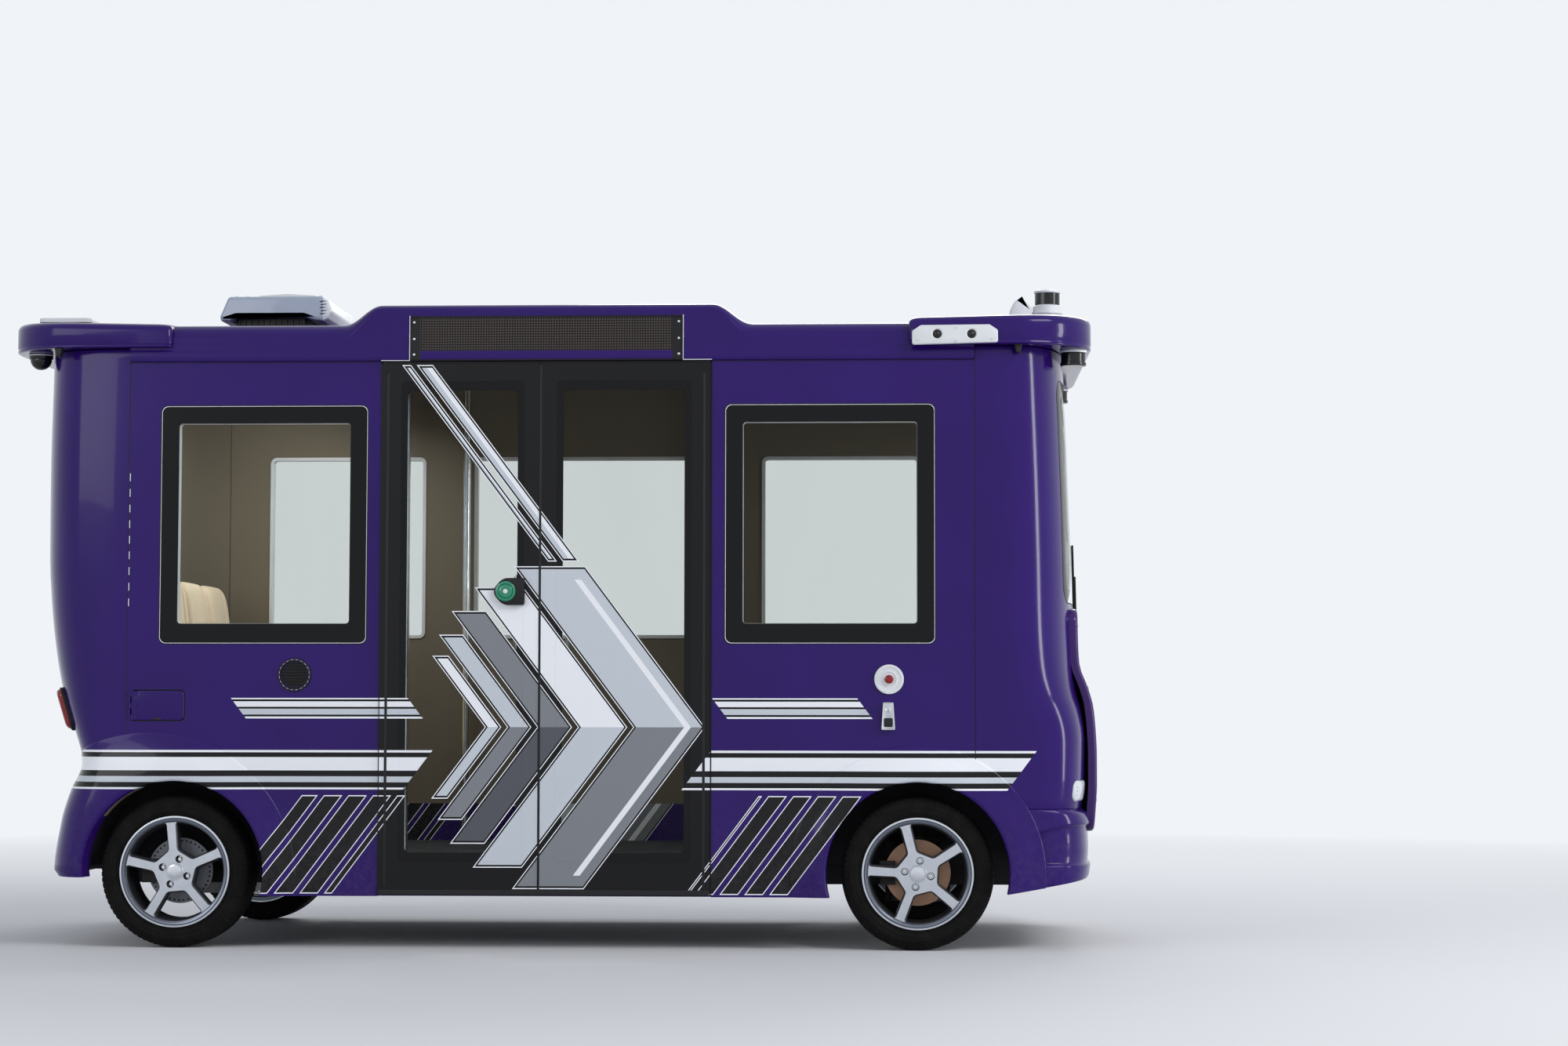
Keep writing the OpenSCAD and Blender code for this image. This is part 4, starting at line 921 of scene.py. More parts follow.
# %% [markdown]
# ## The end mouldings
#
# Each end of the bus is one large moulding that runs from a flat side round to the other. Seen
# from above it is a super-ellipse, |u|^n + |v|^n = 1, whose squareness n and reach change with
# height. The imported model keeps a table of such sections; a monotone cubic through the same table
# gives the smooth form, because an ordinary spline would overshoot and leave waves in the gloss.


# %% A smooth curve through a table
def clamp(value):
    return min(max(value, 0.0), 1.0)


def smooth(value, low, high):
    t = clamp((value - low) / (high - low))
    return t * t * (3 - 2 * t)


def through(table, at, column=1):
    """Monotone cubic through rows whose first entry is the position."""
    last = len(table) - 2
    i = min(max(sum(1 for row in table if row[0] <= at) - 1, 0), last)
    steps = [(b[column] - a[column]) / (b[0] - a[0]) for a, b in zip(table, table[1:])]

    def slope(k):
        if k == 0 or k > last:
            return steps[min(k, last)]
        a, b = steps[k - 1], steps[k]
        return 0.0 if a * b <= 0 else 2 * a * b / (a + b)

    width = table[i + 1][0] - table[i][0]
    t = clamp((at - table[i][0]) / width)
    start, stop = table[i][column], table[i + 1][column]
    bend = (1 + 2 * t) * (1 - t) ** 2 * start + t * t * (3 - 2 * t) * stop
    return bend + width * t * (1 - t) * ((1 - t) * slope(i) - t * slope(i + 1))


# %% A moulding as a surface
class Moulding:
    """A curved end wall. Rows are height, reach in the middle, squareness; end is 1 or -1."""

    def __init__(self, rows, seam, end):
        self.rows, self.seam, self.end = rows, seam, end

    def shape(self, z):
        """Depth from the seam to the middle, and squareness, at one height."""
        return through(self.rows, z) - self.seam, through(self.rows, z, 2)

    def lift(self, u, v, side, z, out):
        """The point at the shares u of the depth and v of the width, moved out along the normal."""
        depth, n = self.shape(z)
        nx, ny = u ** (n - 1) / depth, v ** (n - 1) / SIDE_Y
        k = out / math.hypot(nx, ny)
        return Vector((self.end * (self.seam + depth * u + nx * k), side * (SIDE_Y * v + ny * k), z))

    def turn(self, share, z, out):
        """share runs from -1 at the right seam over 0 in the middle to 1 at the left seam."""
        _, n = self.shape(z)
        c, s = abs(math.cos(share * math.pi / 2)), abs(math.sin(share * math.pi / 2))
        r = (c**n + s**n) ** (-1 / n)
        return self.lift(c * r, s * r, math.copysign(1, share), z, out)

    def face(self, y, z, out):
        """The point straight behind (y, z) as seen from the end."""
        _, n = self.shape(z)
        v = min(abs(y) / SIDE_Y, 0.9999)
        return self.lift((1 - v**n) ** (1 / n), v, math.copysign(1, y), z, out)

    def flank(self, x, z, out):
        """The point on the right flank at x, where the flat side runs on before the seam."""
        depth, n = self.shape(z)
        if x <= self.seam:
            return Vector((self.end * x, -(SIDE_Y + out), z))
        u = min((x - self.seam) / depth, 0.98)
        return self.lift(u, (1 - u**n) ** (1 / n), -1, z, out)


FRONT_ROWS = [
    (0.200, 2.060, 6), (0.270, 2.080, 6), (0.390, 2.092, 6), (0.480, 2.086, 6), (0.515, 2.072, 6),
    (0.533, 2.052, 6), (0.620, 2.062, 6), (0.800, 2.066, 6), (0.900, 2.056, 5.4),
    (0.980, 2.042, 4.4), (1.080, 2.036, 3.8), (1.290, 2.032, 3.6), (1.560, 2.026, 3.6),
    (1.900, 2.014, 3.6), (2.290, 1.996, 3.6),
]
REAR_ROWS = [
    (0.690, 1.838, 3.8), (0.834, 1.898, 3.6), (0.988, 1.953, 3.6), (1.110, 1.980, 3.6),
    (1.234, 1.999, 3.6), (1.360, 2.012, 3.6), (1.500, 2.020, 3.6), (1.842, 2.022, 3.6),
    (2.290, 2.014, 3.6),
]
SKIRT_ROWS = [
    (0.268, 1.925, 5), (0.292, 1.945, 5), (0.473, 1.918, 5), (0.600, 1.882, 4.6), (0.6897, 1.842, 4.2),
]
NOSE_ROWS = [
    (0.450, 2.1000, 7), (0.560, 2.1085, 7), (0.620, 2.1118, 7), (0.740, 2.1118, 7),
    (0.825, 2.108, 7), (0.919, 2.099, 7), (0.995, 2.078, 7), (1.083, 2.046, 7),
    (1.167, 2.041, 7), (1.290, 2.039, 7),
]
CREASE_Z, WALL_TOP = 0.533, 2.290
front_wall = Moulding(FRONT_ROWS, SEAM_FRONT, 1)
rear_wall = Moulding(REAR_ROWS, SEAM_REAR, -1)
skirt_wall = Moulding(SKIRT_ROWS, SEAM_REAR, -1)
nose_wall = Moulding(NOSE_ROWS, SEAM_FRONT, 1)

# %% Cast the mouldings as shells with rolled edges
WALL, ROLL, EDGE = 0.040, 0.0035, 0.0018
COLUMNS = 72
SCREEN = rounded(-0.690, 1.320, 0.690, 2.180, 0.070, 12)
REAR_SCREEN = rounded(-0.620, 1.360, 0.620, 2.080, 0.070, 12)
TOW_HOLE = circle(-0.400, 0.293, 0.030)


def roll_at(k, count):
    """How far an edge's first and last grid lines drop, so that a seam shows as a fine groove."""
    return {0: -ROLL, 1: -ROLL * 0.25}.get(min(k, count - 1 - k), 0.0)


def moulded_shell(wall, low, high, count):
    inner = [low + (high - low) * k / count for k in range(1, count)]
    heights = [low, low + ROLL * 0.5, low + ROLL] + inner + [high - ROLL, high - ROLL * 0.5, high]
    turns = [-1, -1 + EDGE, -1 + 2 * EDGE] + [k / COLUMNS for k in range(1 - COLUMNS, COLUMNS)]
    turns += [1 - 2 * EDGE, 1 - EDGE, 1]

    def drop(j, i):
        return min(roll_at(j, len(heights)), roll_at(i, len(turns)))

    return shell(bmesh.new(), *[
        [[wall.turn(turn, z, drop(j, i) - thick) for i, turn in enumerate(turns)] for j, z in enumerate(heights)]
        for thick in (0.0, WALL)
    ])


def cut_ends(piece, end, opening, reach, arches=True, sharp=35.0):
    """Cuts an opening seen from the end and, on both sides, the round of the wheel arch."""
    carve(piece, prism(opening, along_x, *reach), sharp)
    for low in (-1.0, 0.55) if arches else ():
        carve(piece, prism(circle(end * AXLE_X, HUB_Z, 0.351, 96), along_y, low, low + 0.45), sharp)
    return piece


for name, replaced, shape, cut in (
    ("front_moulding", "front_end", (front_wall, CREASE_Z, WALL_TOP, 46), (1, SCREEN, (1.75, 2.2))),
    ("rear_moulding", "rear_end", (rear_wall, 0.690, WALL_TOP, 42), (-1, REAR_SCREEN, (-2.2, -1.75), False)),
    ("rear_skirt_moulding", "rear_skirt", (skirt_wall, 0.268, 0.6897, 16), (-1, TOW_HOLE, (-2.2, -1.8))),
):
    piece = cut_ends(make_piece(name, moulded_shell(*shape), "body_violet", [replaced]), *cut)
    print(name, "faces:", len(piece.data.polygons))

# %% [markdown]
# The bumper has a recess along its corners with an arched top, and its lower edge climbs towards
# the front. Both come from bending the grid before it becomes a shell: rows that follow the
# recess's own edges keep them crisp, which a fixed grid could not.

# %% Shape the bumper
RECESS_X, RECESS_LOW, RECESS_TOP, RECESS_RISE, RECESS_DEEP = 1.863, 0.318, 0.446, 0.030, 0.013
ZONES = [
    # shares of the way up below, in and above the recess
    [0, 0.02, 0.06, 0.2, 0.4, 0.6, 0.8, 0.95],
    [0.0, 0.03, 0.06, 0.1, 0.3, 0.5, 0.7, 0.88, 0.94, 0.97, 1.0],
    [0.06, 0.15, 0.3, 0.45, 0.6, 0.7, 0.8, 0.88, 0.94, 0.98, 1.0],
]


def bumper_edges(x):
    """Heights of the lower edge, of the recess's foot and arched top, and of the crease."""
    arched = RECESS_TOP + RECESS_RISE * math.sin(min(1.0, 1.6 * max(0.0, x - RECESS_X) / 0.249) * math.pi / 2)
    return 0.206 + 0.068 * clamp((x - 1.700) / 0.420), RECESS_LOW, arched, CREASE_Z - 0.0003


def bumper_point(turn, zone, share, thick):
    x = front_wall.turn(turn, 0.390, 0).x
    edges = bumper_edges(x)
    z = edges[zone] + share * (edges[zone + 1] - edges[zone])
    inside = smooth(z, RECESS_LOW, RECESS_LOW + 0.012) * smooth(edges[2] - z, 0.0, 0.012)
    drop = RECESS_DEEP * inside * smooth(x, RECESS_X, RECESS_X + 0.012)
    drop += ROLL * (smooth(z, CREASE_Z - 0.006, CREASE_Z) + smooth(edges[0] + 0.008 - z, 0.0, 0.008))
    drop += ROLL * smooth(abs(turn), 0.997, 1.0)
    return front_wall.turn(turn, z, -thick or -drop)


bumper_grids = [
    [
        [bumper_point(k / 150, zone, share, thick) for k in range(-150, 151)]
        for zone, shares in enumerate(ZONES) for share in shares
    ]
    for thick in (0.0, WALL)
]
bumper_bm = shell(bmesh.new(), *bumper_grids)
bumper = make_piece("bumper_moulding", bumper_bm, "body_violet", ["front_bumper"], sharp=50)
cut_ends(bumper, 1, TOW_HOLE, (1.9, 2.2), sharp=50)
print("bumper faces:", len(bumper.data.polygons))

# %% [markdown]
# ## Panes and panels on the mouldings
#
# The windscreen, the rear window, the nose panel and the lamps are plates laid on the mouldings.
# Every pane gets a rubber seal, a wreath of soft profile that fills the joint.

# %% Glaze both ends
PANE_EDGE = [(0.004, 0.0), (0.0015, -0.0005), (0.0005, -0.002), (0.0005, -0.006), (0.004, -0.006)]
SEAL = [(0.003, -0.008), (0.002, 0.0006), (-0.0005, 0.0012), (-0.003, 0.0006), (-0.0035, -0.008)]
ENDS = [
    ("screen", "windscreen", front_wall, SCREEN, screen_pane),
    ("rear", "rear_window", rear_wall, REAR_SCREEN, rear_pane),
]
for name, replaced, wall, outline, finish in ENDS:
    build(name + "_glass", "tinted_glass", [replaced], (outline, PANE_EDGE, wall.face, 14), finish=finish)
for name, _, wall, outline, _ in ENDS:
    build(name + "_seal", "black_plastic", (), (dense(outline, 0.06), SEAL, wall.face, *HOLLOW))

# %% Lay the nose panel
NOSE = dense(rounded(-0.610, 0.440, 0.610, 1.300, 0.060, 10), 0.03)
NOSE_EDGE = [(0.020, 0.0), (0.012, -0.001), (0.005, -0.004), (0.001, -0.010), (0.0, -0.018), (0.0, -0.034)]
nose = build("nose_cover", "nose_violet", ["nose_panel"], (NOSE, NOSE_EDGE, nose_wall.face, 24))
print("nose cover faces:", len(nose.data.polygons))

# %% [markdown]
# ## Arch flares
#
# A flare is a lip that swells out of the side round each wheel and fades into it at a seam. It is
# swept round the arch: at each angle one cross-section runs from the arch out to the seam circle,
# standing on the skin under it. The rear seam is a larger circle whose middle lies behind the hub
# and below it, which gives the rear fender its tail.

# %% Sweep the flares
ARCH_R, SWEEP = 0.345, 132
FLARE = [
    # share of the way from the arch to the seam, how far it stands out
    (0.0, -0.055), (0.0, 0.016), (0.006, 0.0225), (0.022, 0.0275), (0.05, 0.0298), (0.11, 0.0297),
    (0.25, 0.0270), (0.37, 0.0226), (0.5, 0.0174), (0.62, 0.0120), (0.75, 0.0078),
    (0.87, 0.0048), (0.955, 0.0034), (0.985, 0.0024), (1.0, -0.001), (1.0, -0.010),
    (0.5, -0.010), (0.07, -0.012), (0.06, -0.055),
]
tail_wall = Moulding(SKIRT_ROWS + [row for row in REAR_ROWS if row[0] > 0.7], SEAM_REAR, -1)


def trim(bm, point, normal):
    """Cuts away what lies on the side that the normal points to, and closes the holes."""
    geom = bm.verts[:] + bm.edges[:] + bm.faces[:]
    bmesh.ops.bisect_plane(bm, geom=geom, plane_co=point, plane_no=normal, clear_outer=True)
    bmesh.ops.holes_fill(bm, edges=[e for e in bm.edges if e.is_boundary])


def flare(wall, seam_r, back, down):
    """seam_r is the seam's radius; its middle is back behind the hub and down below it."""
    rows = []
    for i in range(SWEEP + 1):
        degrees = -34 + 248 * i / SWEEP
        arch_x, arch_z = polar(ARCH_R, degrees, AXLE_X, HUB_Z)
        seam_x, seam_z = polar(seam_r, degrees, AXLE_X + back, HUB_Z - down)
        seam_x = min(seam_x, wall.seam + 0.93 * wall.shape(seam_z)[0])
        ray_x, ray_z = seam_x - arch_x, seam_z - arch_z
        rows.append([wall.flank(arch_x + k * ray_x, arch_z + k * ray_z, out) for k, out in FLARE])
    bm = bmesh.new()
    skin(bm, rows)
    bmesh.ops.triangulate(bm, faces=[f for f in bm.faces if len(f.verts) > 4])
    if wall is front_wall:
        trim(bm, (1.700, 0, 0.206), (0.068, 0, -0.420))
    trim(bm, (0, 0, SILL_Z), (0, 0, -1))
    return mirrored(bm)


front = make_piece("front_flares", flare(front_wall, 0.484, 0.0, 0.0), "body_violet", ["arch_flares"], sharp=48)
rear = make_piece("rear_flares", flare(tail_wall, 0.572, 0.102, 0.038), "body_violet", ["arch_flares"], sharp=48)
under_skirt = [(-3.0, 0.0), (-SEAM_REAR, 0.0), (-SEAM_REAR, 0.268), (-3.0, 0.268)]
carve(rear, prism(under_skirt, along_y, -1.2, 1.2), sharp=48)
print("flare faces:", len(front.data.polygons), len(rear.data.polygons))

# %% [markdown]
# ## The roof
#
# The roof is drawn as sections along the bus. Over the door it swells into a hump for the sign's
# housing. The plain section and the hump's section have the same number of points, so an S-shaped
# blend between them, point by point, rolls one softly into the other.

# %% Sections of the roof
ROOF_Z, CROWN = 2.384, 0.046
ROOF_Y = SIDE_Y + 0.015
HUMP_Z, HUMP_IN_Z, HUMP_Y = 2.457, 2.463, -0.480
HUMP_FROM, HUMP_TO = 0.790, 0.636
LOWER_EDGE = [(0.013, 0.0005), (0.004, 0.0025), (0.0, 0.008), (0.0, 0.038), (0.003, 0.043), (0.0035, 0.050)]


def crown_at(y):
    return ROOF_Z + CROWN * max(0.0, 1 - (y / 0.83) ** 2)


def roof_edge(radius, top, inner):
    """Points up the side and round the edge, from the lower lip to the top."""
    arc = [(math.radians(90 * k / 11), 0.0 if k else 0.001) for k in range(12)]
    edge = [(u - ROOF_Y, SIDE_TOP + z) for u, z in LOWER_EDGE]
    return edge + [
        (u - ROOF_Y if u else inner - ROOF_Y - inner * math.cos(turn), top - radius + radius * math.sin(turn))
        for turn, u in arc
    ]


PLAIN = roof_edge(0.070, ROOF_Z, 0.070)
HUMP = roof_edge(0.030, HUMP_Z, 0.045)
for k in range(1, 15):
    y = -0.83 + (HUMP_Y + 0.83) * k / 14
    PLAIN.append((y, crown_at(y)))
    y = -0.855 + (HUMP_Y - 0.004 + 0.855) * k / 14
    fall = smooth(y, HUMP_Y - 0.10, HUMP_Y)
    HUMP.append((y, (HUMP_Z + (HUMP_IN_Z - HUMP_Z) * min(1.0, k / 7)) * (1 - fall) + crown_at(HUMP_Y) * fall))
REST = [(y / 100, crown_at(y / 100)) for y in range(-44, 84, 4)]
REST += [(-y, z) for y, z in reversed(PLAIN[:18])]


def roof_section(x, inner):
    lift = (1 - math.cos(math.pi * clamp((HUMP_FROM - abs(x)) / (HUMP_FROM - HUMP_TO)))) / 2
    line = [(p[0] + (h[0] - p[0]) * lift, p[1] + (h[1] - p[1]) * lift) for p, h in zip(PLAIN, HUMP)] + REST
    if inner:
        line = [(max(-0.85, min(0.85, y)), min(z, 2.364, crown_at(y) - 0.05)) for y, z in line]
    return [Vector((x, y, z)) for y, z in line]


rear_half = [-1.3, -1.0, -0.82] + [-0.80 + 0.0085 * k for k in range(21)] + [-0.6, -0.3]
stations = [0.0003 - SEAM_REAR] + rear_half + [0.0] + [-x for x in reversed(rear_half)] + [SEAM_FRONT - 0.0003]
roof_bm = shell(bmesh.new(), *[[roof_section(x, inner) for x in stations] for inner in (False, True)])
roof = make_piece("roof_skin", roof_bm, "body_violet", ["roof"], sharp=40)
print("roof faces:", len(roof.data.polygons))

# %% [markdown]
# The caps at both ends have a rounded edge and a crowned top. The edge's levels shrink the
# outline towards its middle, because a deep inset along the normals would cross itself at the
# corners, and the crown takes the same share off all heights of a station.

# %% Roof caps with rounded edges
CAP_Y, CAP_LOW, CAP_TOP, CAP_R = SIDE_Y + 0.040, 2.292, 2.436, 0.30
CAPS = [
    # end, inner end, outer end, fall of the top towards the sides at the inner and at the outer end
    (1, 1.384, 2.090, 0.036, 0.020),
    (-1, 1.440, 2.112, 0.052, 0.036),
]
CAP_EDGE = [
    # inset, height under the top, then height over the foot
    *[(d, CAP_TOP - h) for d, h in ((0.30, 0.0005), (0.16, 0.0015), (0.06, 0.004), (0.028, 0.007),
                                    (0.016, 0.011), (0.008, 0.017), (0.0025, 0.027), (0.0, 0.040))],
    *[(d, CAP_LOW + h) for d, h in ((0.0, 0.024), (0.0022, 0.020), (0.0026, 0.016), (0.0008, 0.012),
                                    (0.001, 0.006), (0.006, 0.001), (0.014, 0.0), (0.12, 0.0))],
]

cap_bm = bmesh.new()
for end, start, stop, fall_in, fall_out in CAPS:
    corners = [(start, -CAP_Y, 0.022), (stop, -CAP_Y, CAP_R), (stop, CAP_Y, CAP_R), (start, CAP_Y, 0.022)]
    outline = dense(fillet(corners, 24), 0.05)
    middle, half = (start + stop) / 2, (stop - start) / 2

    def cap_point(x, y, distance, z):
        x, y = middle + (x - middle) * (1 - distance / half), y * (1 - distance / CAP_Y)
        fall = fall_in + (fall_out - fall_in) * (x - start) / (stop - start)
        return end * x, y, z - (z - CAP_LOW) / (CAP_TOP - CAP_LOW) * fall * (y / CAP_Y) ** 2

    skin(cap_bm, [[cap_point(x, y, distance, z) for x, y in outline] for distance, z in CAP_EDGE])
caps = make_piece("roof_end_caps", cap_bm, "body_violet", ["roof_caps"], sharp=40)
print("cap faces:", len(caps.data.polygons))

# %% [markdown]
# ## Wheels
#
# All four wheels are one design at four spoke angles. In the wheel's own frame u runs forward, v
# up and out away from the bus, so a place turns those three into the bus's frame.

# %% Where the wheels stand
WHEELS = [
    # name, end, side, angle of the first spoke
    ("front_right", 1, -1, 104.5),
    ("front_left", 1, 1, 90.0),
    ("rear_right", -1, -1, 95.0),
    ("rear_left", -1, 1, 80.0),
]


def wheel_place(end, side):
    return lambda u, v, out: Vector((end * AXLE_X + u, side * (TRACK_Y + out), HUB_Z + v))


def lathe(profile, place, steps, *hollow):
    """A row for plates that turns a profile of (radius, out) round the wheel's axis."""
    size = max(r for r, out in profile)
    return circle(0, 0, size, steps), [(size - r, out) for r, out in profile], place, *hollow


# %% Tyres with grooves and shoulder blocks
SHOULDER = [
    # radius, out: half of a tyre's section from the bead to the first groove
    (0.1960, 0.0700), (0.1965, 0.0870), (0.2145, 0.0880), (0.2165, 0.0905), (0.2200, 0.0925),
    (0.2225, 0.0935), (0.2240, 0.0922), (0.2280, 0.0945), (0.2400, 0.0950), (0.2440, 0.0940),
    (0.2455, 0.0948), (0.2520, 0.0945), (0.2590, 0.0936), (0.2605, 0.0925), (0.2660, 0.0912),
    (0.2740, 0.0870), (0.2800, 0.0828), (0.2845, 0.0765), (0.2872, 0.0690), (0.2880, 0.0610),
    (0.2885, 0.0500),
]
GROOVES = [(0.0, 0.0400), (0.0065, 0.0365), (0.0065, 0.0275), (0.0, 0.0240), (0.0, 0.0055), (0.0065, 0.0035)]
BLOCKS, BLOCK_STEPS = 80, 5
BLOCK_DEEP = 0.0030


def tyre_section(step):
    """Every fifth section lies lower at the shoulder, which parts the tread into blocks."""
    low = BLOCK_DEEP if step % BLOCK_STEPS == 0 else 0.0
    half = [(r - (low if r > 0.270 else low * 0.5 if r > 0.259 else 0.0), out) for r, out in SHOULDER]
    half += [(TYRE_R - deep, out) for deep, out in GROOVES]
    return half + [(r, -out) for r, out in reversed(half)]


for name, end, side, _ in WHEELS:
    place, tyre_bm, count = wheel_place(end, side), bmesh.new(), BLOCKS * BLOCK_STEPS
    sections = [[place(*polar(r, 360 * i / count), out) for r, out in tyre_section(i)] for i in range(count)]
    skin(tyre_bm, sections, wreath=True)
    tyre = make_piece("tread_" + name, tyre_bm, "tyre", ["tyre_" + name], "wheel_" + name, sharp=38)
print("tyre faces:", len(tyre.data.polygons))

# %% Profiles of the wheel
BARREL = [
    # radius, out: the wreath between the tyre's beads
    (0.1957, 0.0883), (0.2120, 0.0883), (0.2122, 0.0945), (0.2108, 0.0966), (0.2080, 0.0970),
    (0.2035, 0.0968), (0.2022, 0.0950), (0.2008, 0.0968), (0.1955, 0.0966), (0.1930, 0.0952),
    (0.1915, 0.0905), (0.1895, 0.0900), (0.1885, 0.0850), (0.1870, 0.0700), (0.1790, 0.0420),
    (0.1782, 0.0300), (0.1805, 0.0290), (0.1805, -0.0500), (0.1840, -0.0550), (0.1860, -0.0900),
    (0.1900, -0.0965), (0.2100, -0.0970), (0.2120, -0.0883), (0.1957, -0.0883),
]
FACE, HUB_BACK = 0.0925, 0.038
STAR = [(0.1875, FACE), (0.1880, FACE - 0.001), (0.1872, 0.046)]
WINDOW_EDGE = [(-0.0055, 0.110), (-0.0055, FACE - 0.0003), (-0.0010, FACE - 0.0065), (0.0030, 0.030)]
LUG_EDGE = [(-0.0015, 0.1), (-0.0015, FACE), (0, FACE - 0.002), (0, 0.058)]
LUG_R, LUG_HOLE, LUGS, LUG_TURN = 0.050, 0.0130, 4, 24.5
SPOKES, WINDOW_R, SPOKE_HALF, INNER_U = 5, 0.1850, 0.0205, 0.079
HUB_CAP = [(0.0285, 0.0948), (0.0295, 0.0962), (0.0322, 0.0962), (0.0330, 0.0952), (0.0330, 0.0600)]
CAP_DISC = [(0.0100, 0.0970), (0.0240, 0.0964), (0.0265, 0.0958), (0.0270, 0.0940)]


def spoke_window(degrees):
    """Outline of the gap between two spokes, whose middle stands at this angle."""
    half = math.pi / SPOKES
    corner = math.degrees(half - math.asin((SPOKE_HALF + 0.0015) / WINDOW_R))
    inner_v = INNER_U * math.tan(half) - SPOKE_HALF / math.cos(half)
    points = [(INNER_U, inner_v, 0.016), (INNER_U, -inner_v, 0.016)]
    points += [(*polar(WINDOW_R, corner * k / 6), 0.007 if abs(k) == 6 else 0.0) for k in range(-6, 7)]
    c, s = polar(1.0, degrees)
    return [(u * c - v * s, u * s + v * c) for u, v in fillet(points, 10)]


# %% Spoked faces, barrels, bolts and caps
for name, end, side, turn in WHEELS:
    place, body = wheel_place(end, side), "wheel_" + name
    rim = "alloy_wheel", ["rim_" + name]
    build("rim_barrel_" + name, *rim, lathe(BARREL, place, 144, *HOLLOW), body=body, sharp=30, finish=wreath_painted_shade_finish)
    star = build("rim_star_" + name, *rim, lathe(STAR, place, 144), body=body, finish=spoke_finish)
    for i in range(SPOKES):
        window = spoke_window(turn + (i + 0.5) * 360 / SPOKES)
        carve(star, plates([(window, WINDOW_EDGE, place)]), sharp=25)
    lugs = around(LUGS, turn - LUG_TURN, LUG_R)
    carve(star, plates(discs(lugs, LUG_HOLE, 28, LUG_EDGE, place)), sharp=25)
    bolts = [
        row for lug in lugs
        for row in discs([lug], 0.0085, 6, lip(0.0015, 0.0800, 0.0788, 0.056), place)
        + discs([lug], 0.0105, 24, [(0.0, 0.0665), (0.0, 0.056)], place)
    ]
    hub_back = (circle(0, 0, 0.060, 72), [(0.0, 0.047), (0.0, HUB_BACK)], place)
    build("lug_bolts_" + name, "latch_chrome", (), *bolts, hub_back, body=body)
    build("hub_cap_" + name, "alloy_wheel", (), lathe(HUB_CAP, place, 64), body=body)
    build("cap_disc_" + name, "latch_chrome", (), lathe(CAP_DISC, place, 56), body=body)
print("star faces:", len(star.data.polygons))

# %% [markdown]
# ## The cabin
#
# Eight seats stand in two rows that face each other. A seat is a soft thing: a coarse cage of its
# section, swept over a few stations from one side to the other, becomes a padded form once it is
# subdivided. The stations sink where a seam is sewn and drop at both ends, which rounds the
# shoulders. The cage is drawn a little large, because subdivision pulls a form in.

# %% Sew the seats
SEAT_BASE, SEAT_HALF, PITCH = 0.6838, 0.173, 0.373
SEAT_SECTION = [
    # distance from the row's back plane, height over the base: counterclockwise from the bottom
    (0.030, 0.0), (0.240, -0.001), (0.420, 0.000), (0.452, 0.012), (0.461, 0.040), (0.450, 0.066),
    (0.400, 0.075), (0.300, 0.064), (0.190, 0.060), (0.128, 0.064), (0.110, 0.085), (0.104, 0.160),
    (0.100, 0.300), (0.088, 0.450), (0.074, 0.600), (0.064, 0.690), (0.048, 0.742), (0.018, 0.756),
    (-0.008, 0.742), (-0.010, 0.660), (-0.004, 0.400), (-0.001, 0.120), (0.008, 0.020),
]
STATIONS = [
    # share of the half width, how far the padding sinks, how far the shoulder drops
    (1.00, 0.016, 0.075), (0.985, 0.004, 0.040), (0.90, -0.004, 0.014), (0.70, -0.004, 0.002),
    (0.615, 0.000, 0.0), (0.600, 0.007, 0.0), (0.585, 0.000, 0.0), (0.30, -0.001, 0.0),
]
STATIONS += [(-share, sink, drop) for share, sink, drop in reversed(STATIONS)]
ROWS = [(-1.650, 1), (1.680, -1)]


def seat_loop(sink, drop):
    """The section with its padded part sunk by inset and its shoulder dropped."""
    sunk = inset(SEAT_SECTION, sink)
    loop = [sunk[i] if 3 < i < 18 else point for i, point in enumerate(SEAT_SECTION)]
    return [(d, h - drop * smooth(point[1], 0.45, 0.74)) for (d, h), point in zip(loop, SEAT_SECTION)]


for number in range(8):
    row_x, way = ROWS[number // 4]
    middle_y = (number % 4 - 1.5) * PITCH
    seat_bm = bmesh.new()
    skin(seat_bm, [
        [(row_x + way * d, middle_y + share * SEAT_HALF, SEAT_BASE + h) for d, h in seat_loop(sink, drop)]
        for share, sink, drop in STATIONS
    ])
    seat = make_piece(f"seat_{number + 1}", seat_bm, "seat_beige", ["seats"], sharp=80)
    modifier = seat.modifiers.new("soft", "SUBSURF")
    modifier.levels = modifier.render_levels = 2
    settle(seat, 80)
print("faces of a seat:", len(seat.data.polygons))

# %% Poles with flanges on the right
POLE_X, POLE_Y, POLE_R, POLE_TOP, FLOOR_Z = 0.560, 0.740, 0.016, 2.330, 0.3403
build("poles", "pole_steel", ["grab_poles"], *[
    (circle(x, -POLE_Y, radius, steps), levels, on_level(0))
    for x in (-POLE_X, POLE_X)
    for radius, steps, levels in (
        (POLE_R, 28, [(0.0, POLE_TOP), (0.0, FLOOR_Z)]),
        (0.034, 32, lip(0.004, 0.3475, 0.3455, FLOOR_Z)),
        (0.030, 32, [(0.0, POLE_TOP), (0.0, POLE_TOP - 0.004), (0.004, POLE_TOP - 0.007)]),
    )
])

# %% [markdown]
# ## On the roof
#
# The cooling unit's cover is an outline seen from the side, drawn out across the bus with rounded
# ends. It stands on a black base and has a thin dark lid. The lidar is turned on its own axis and
# gets its cooling slots by moving every other line of its side a little inwards.

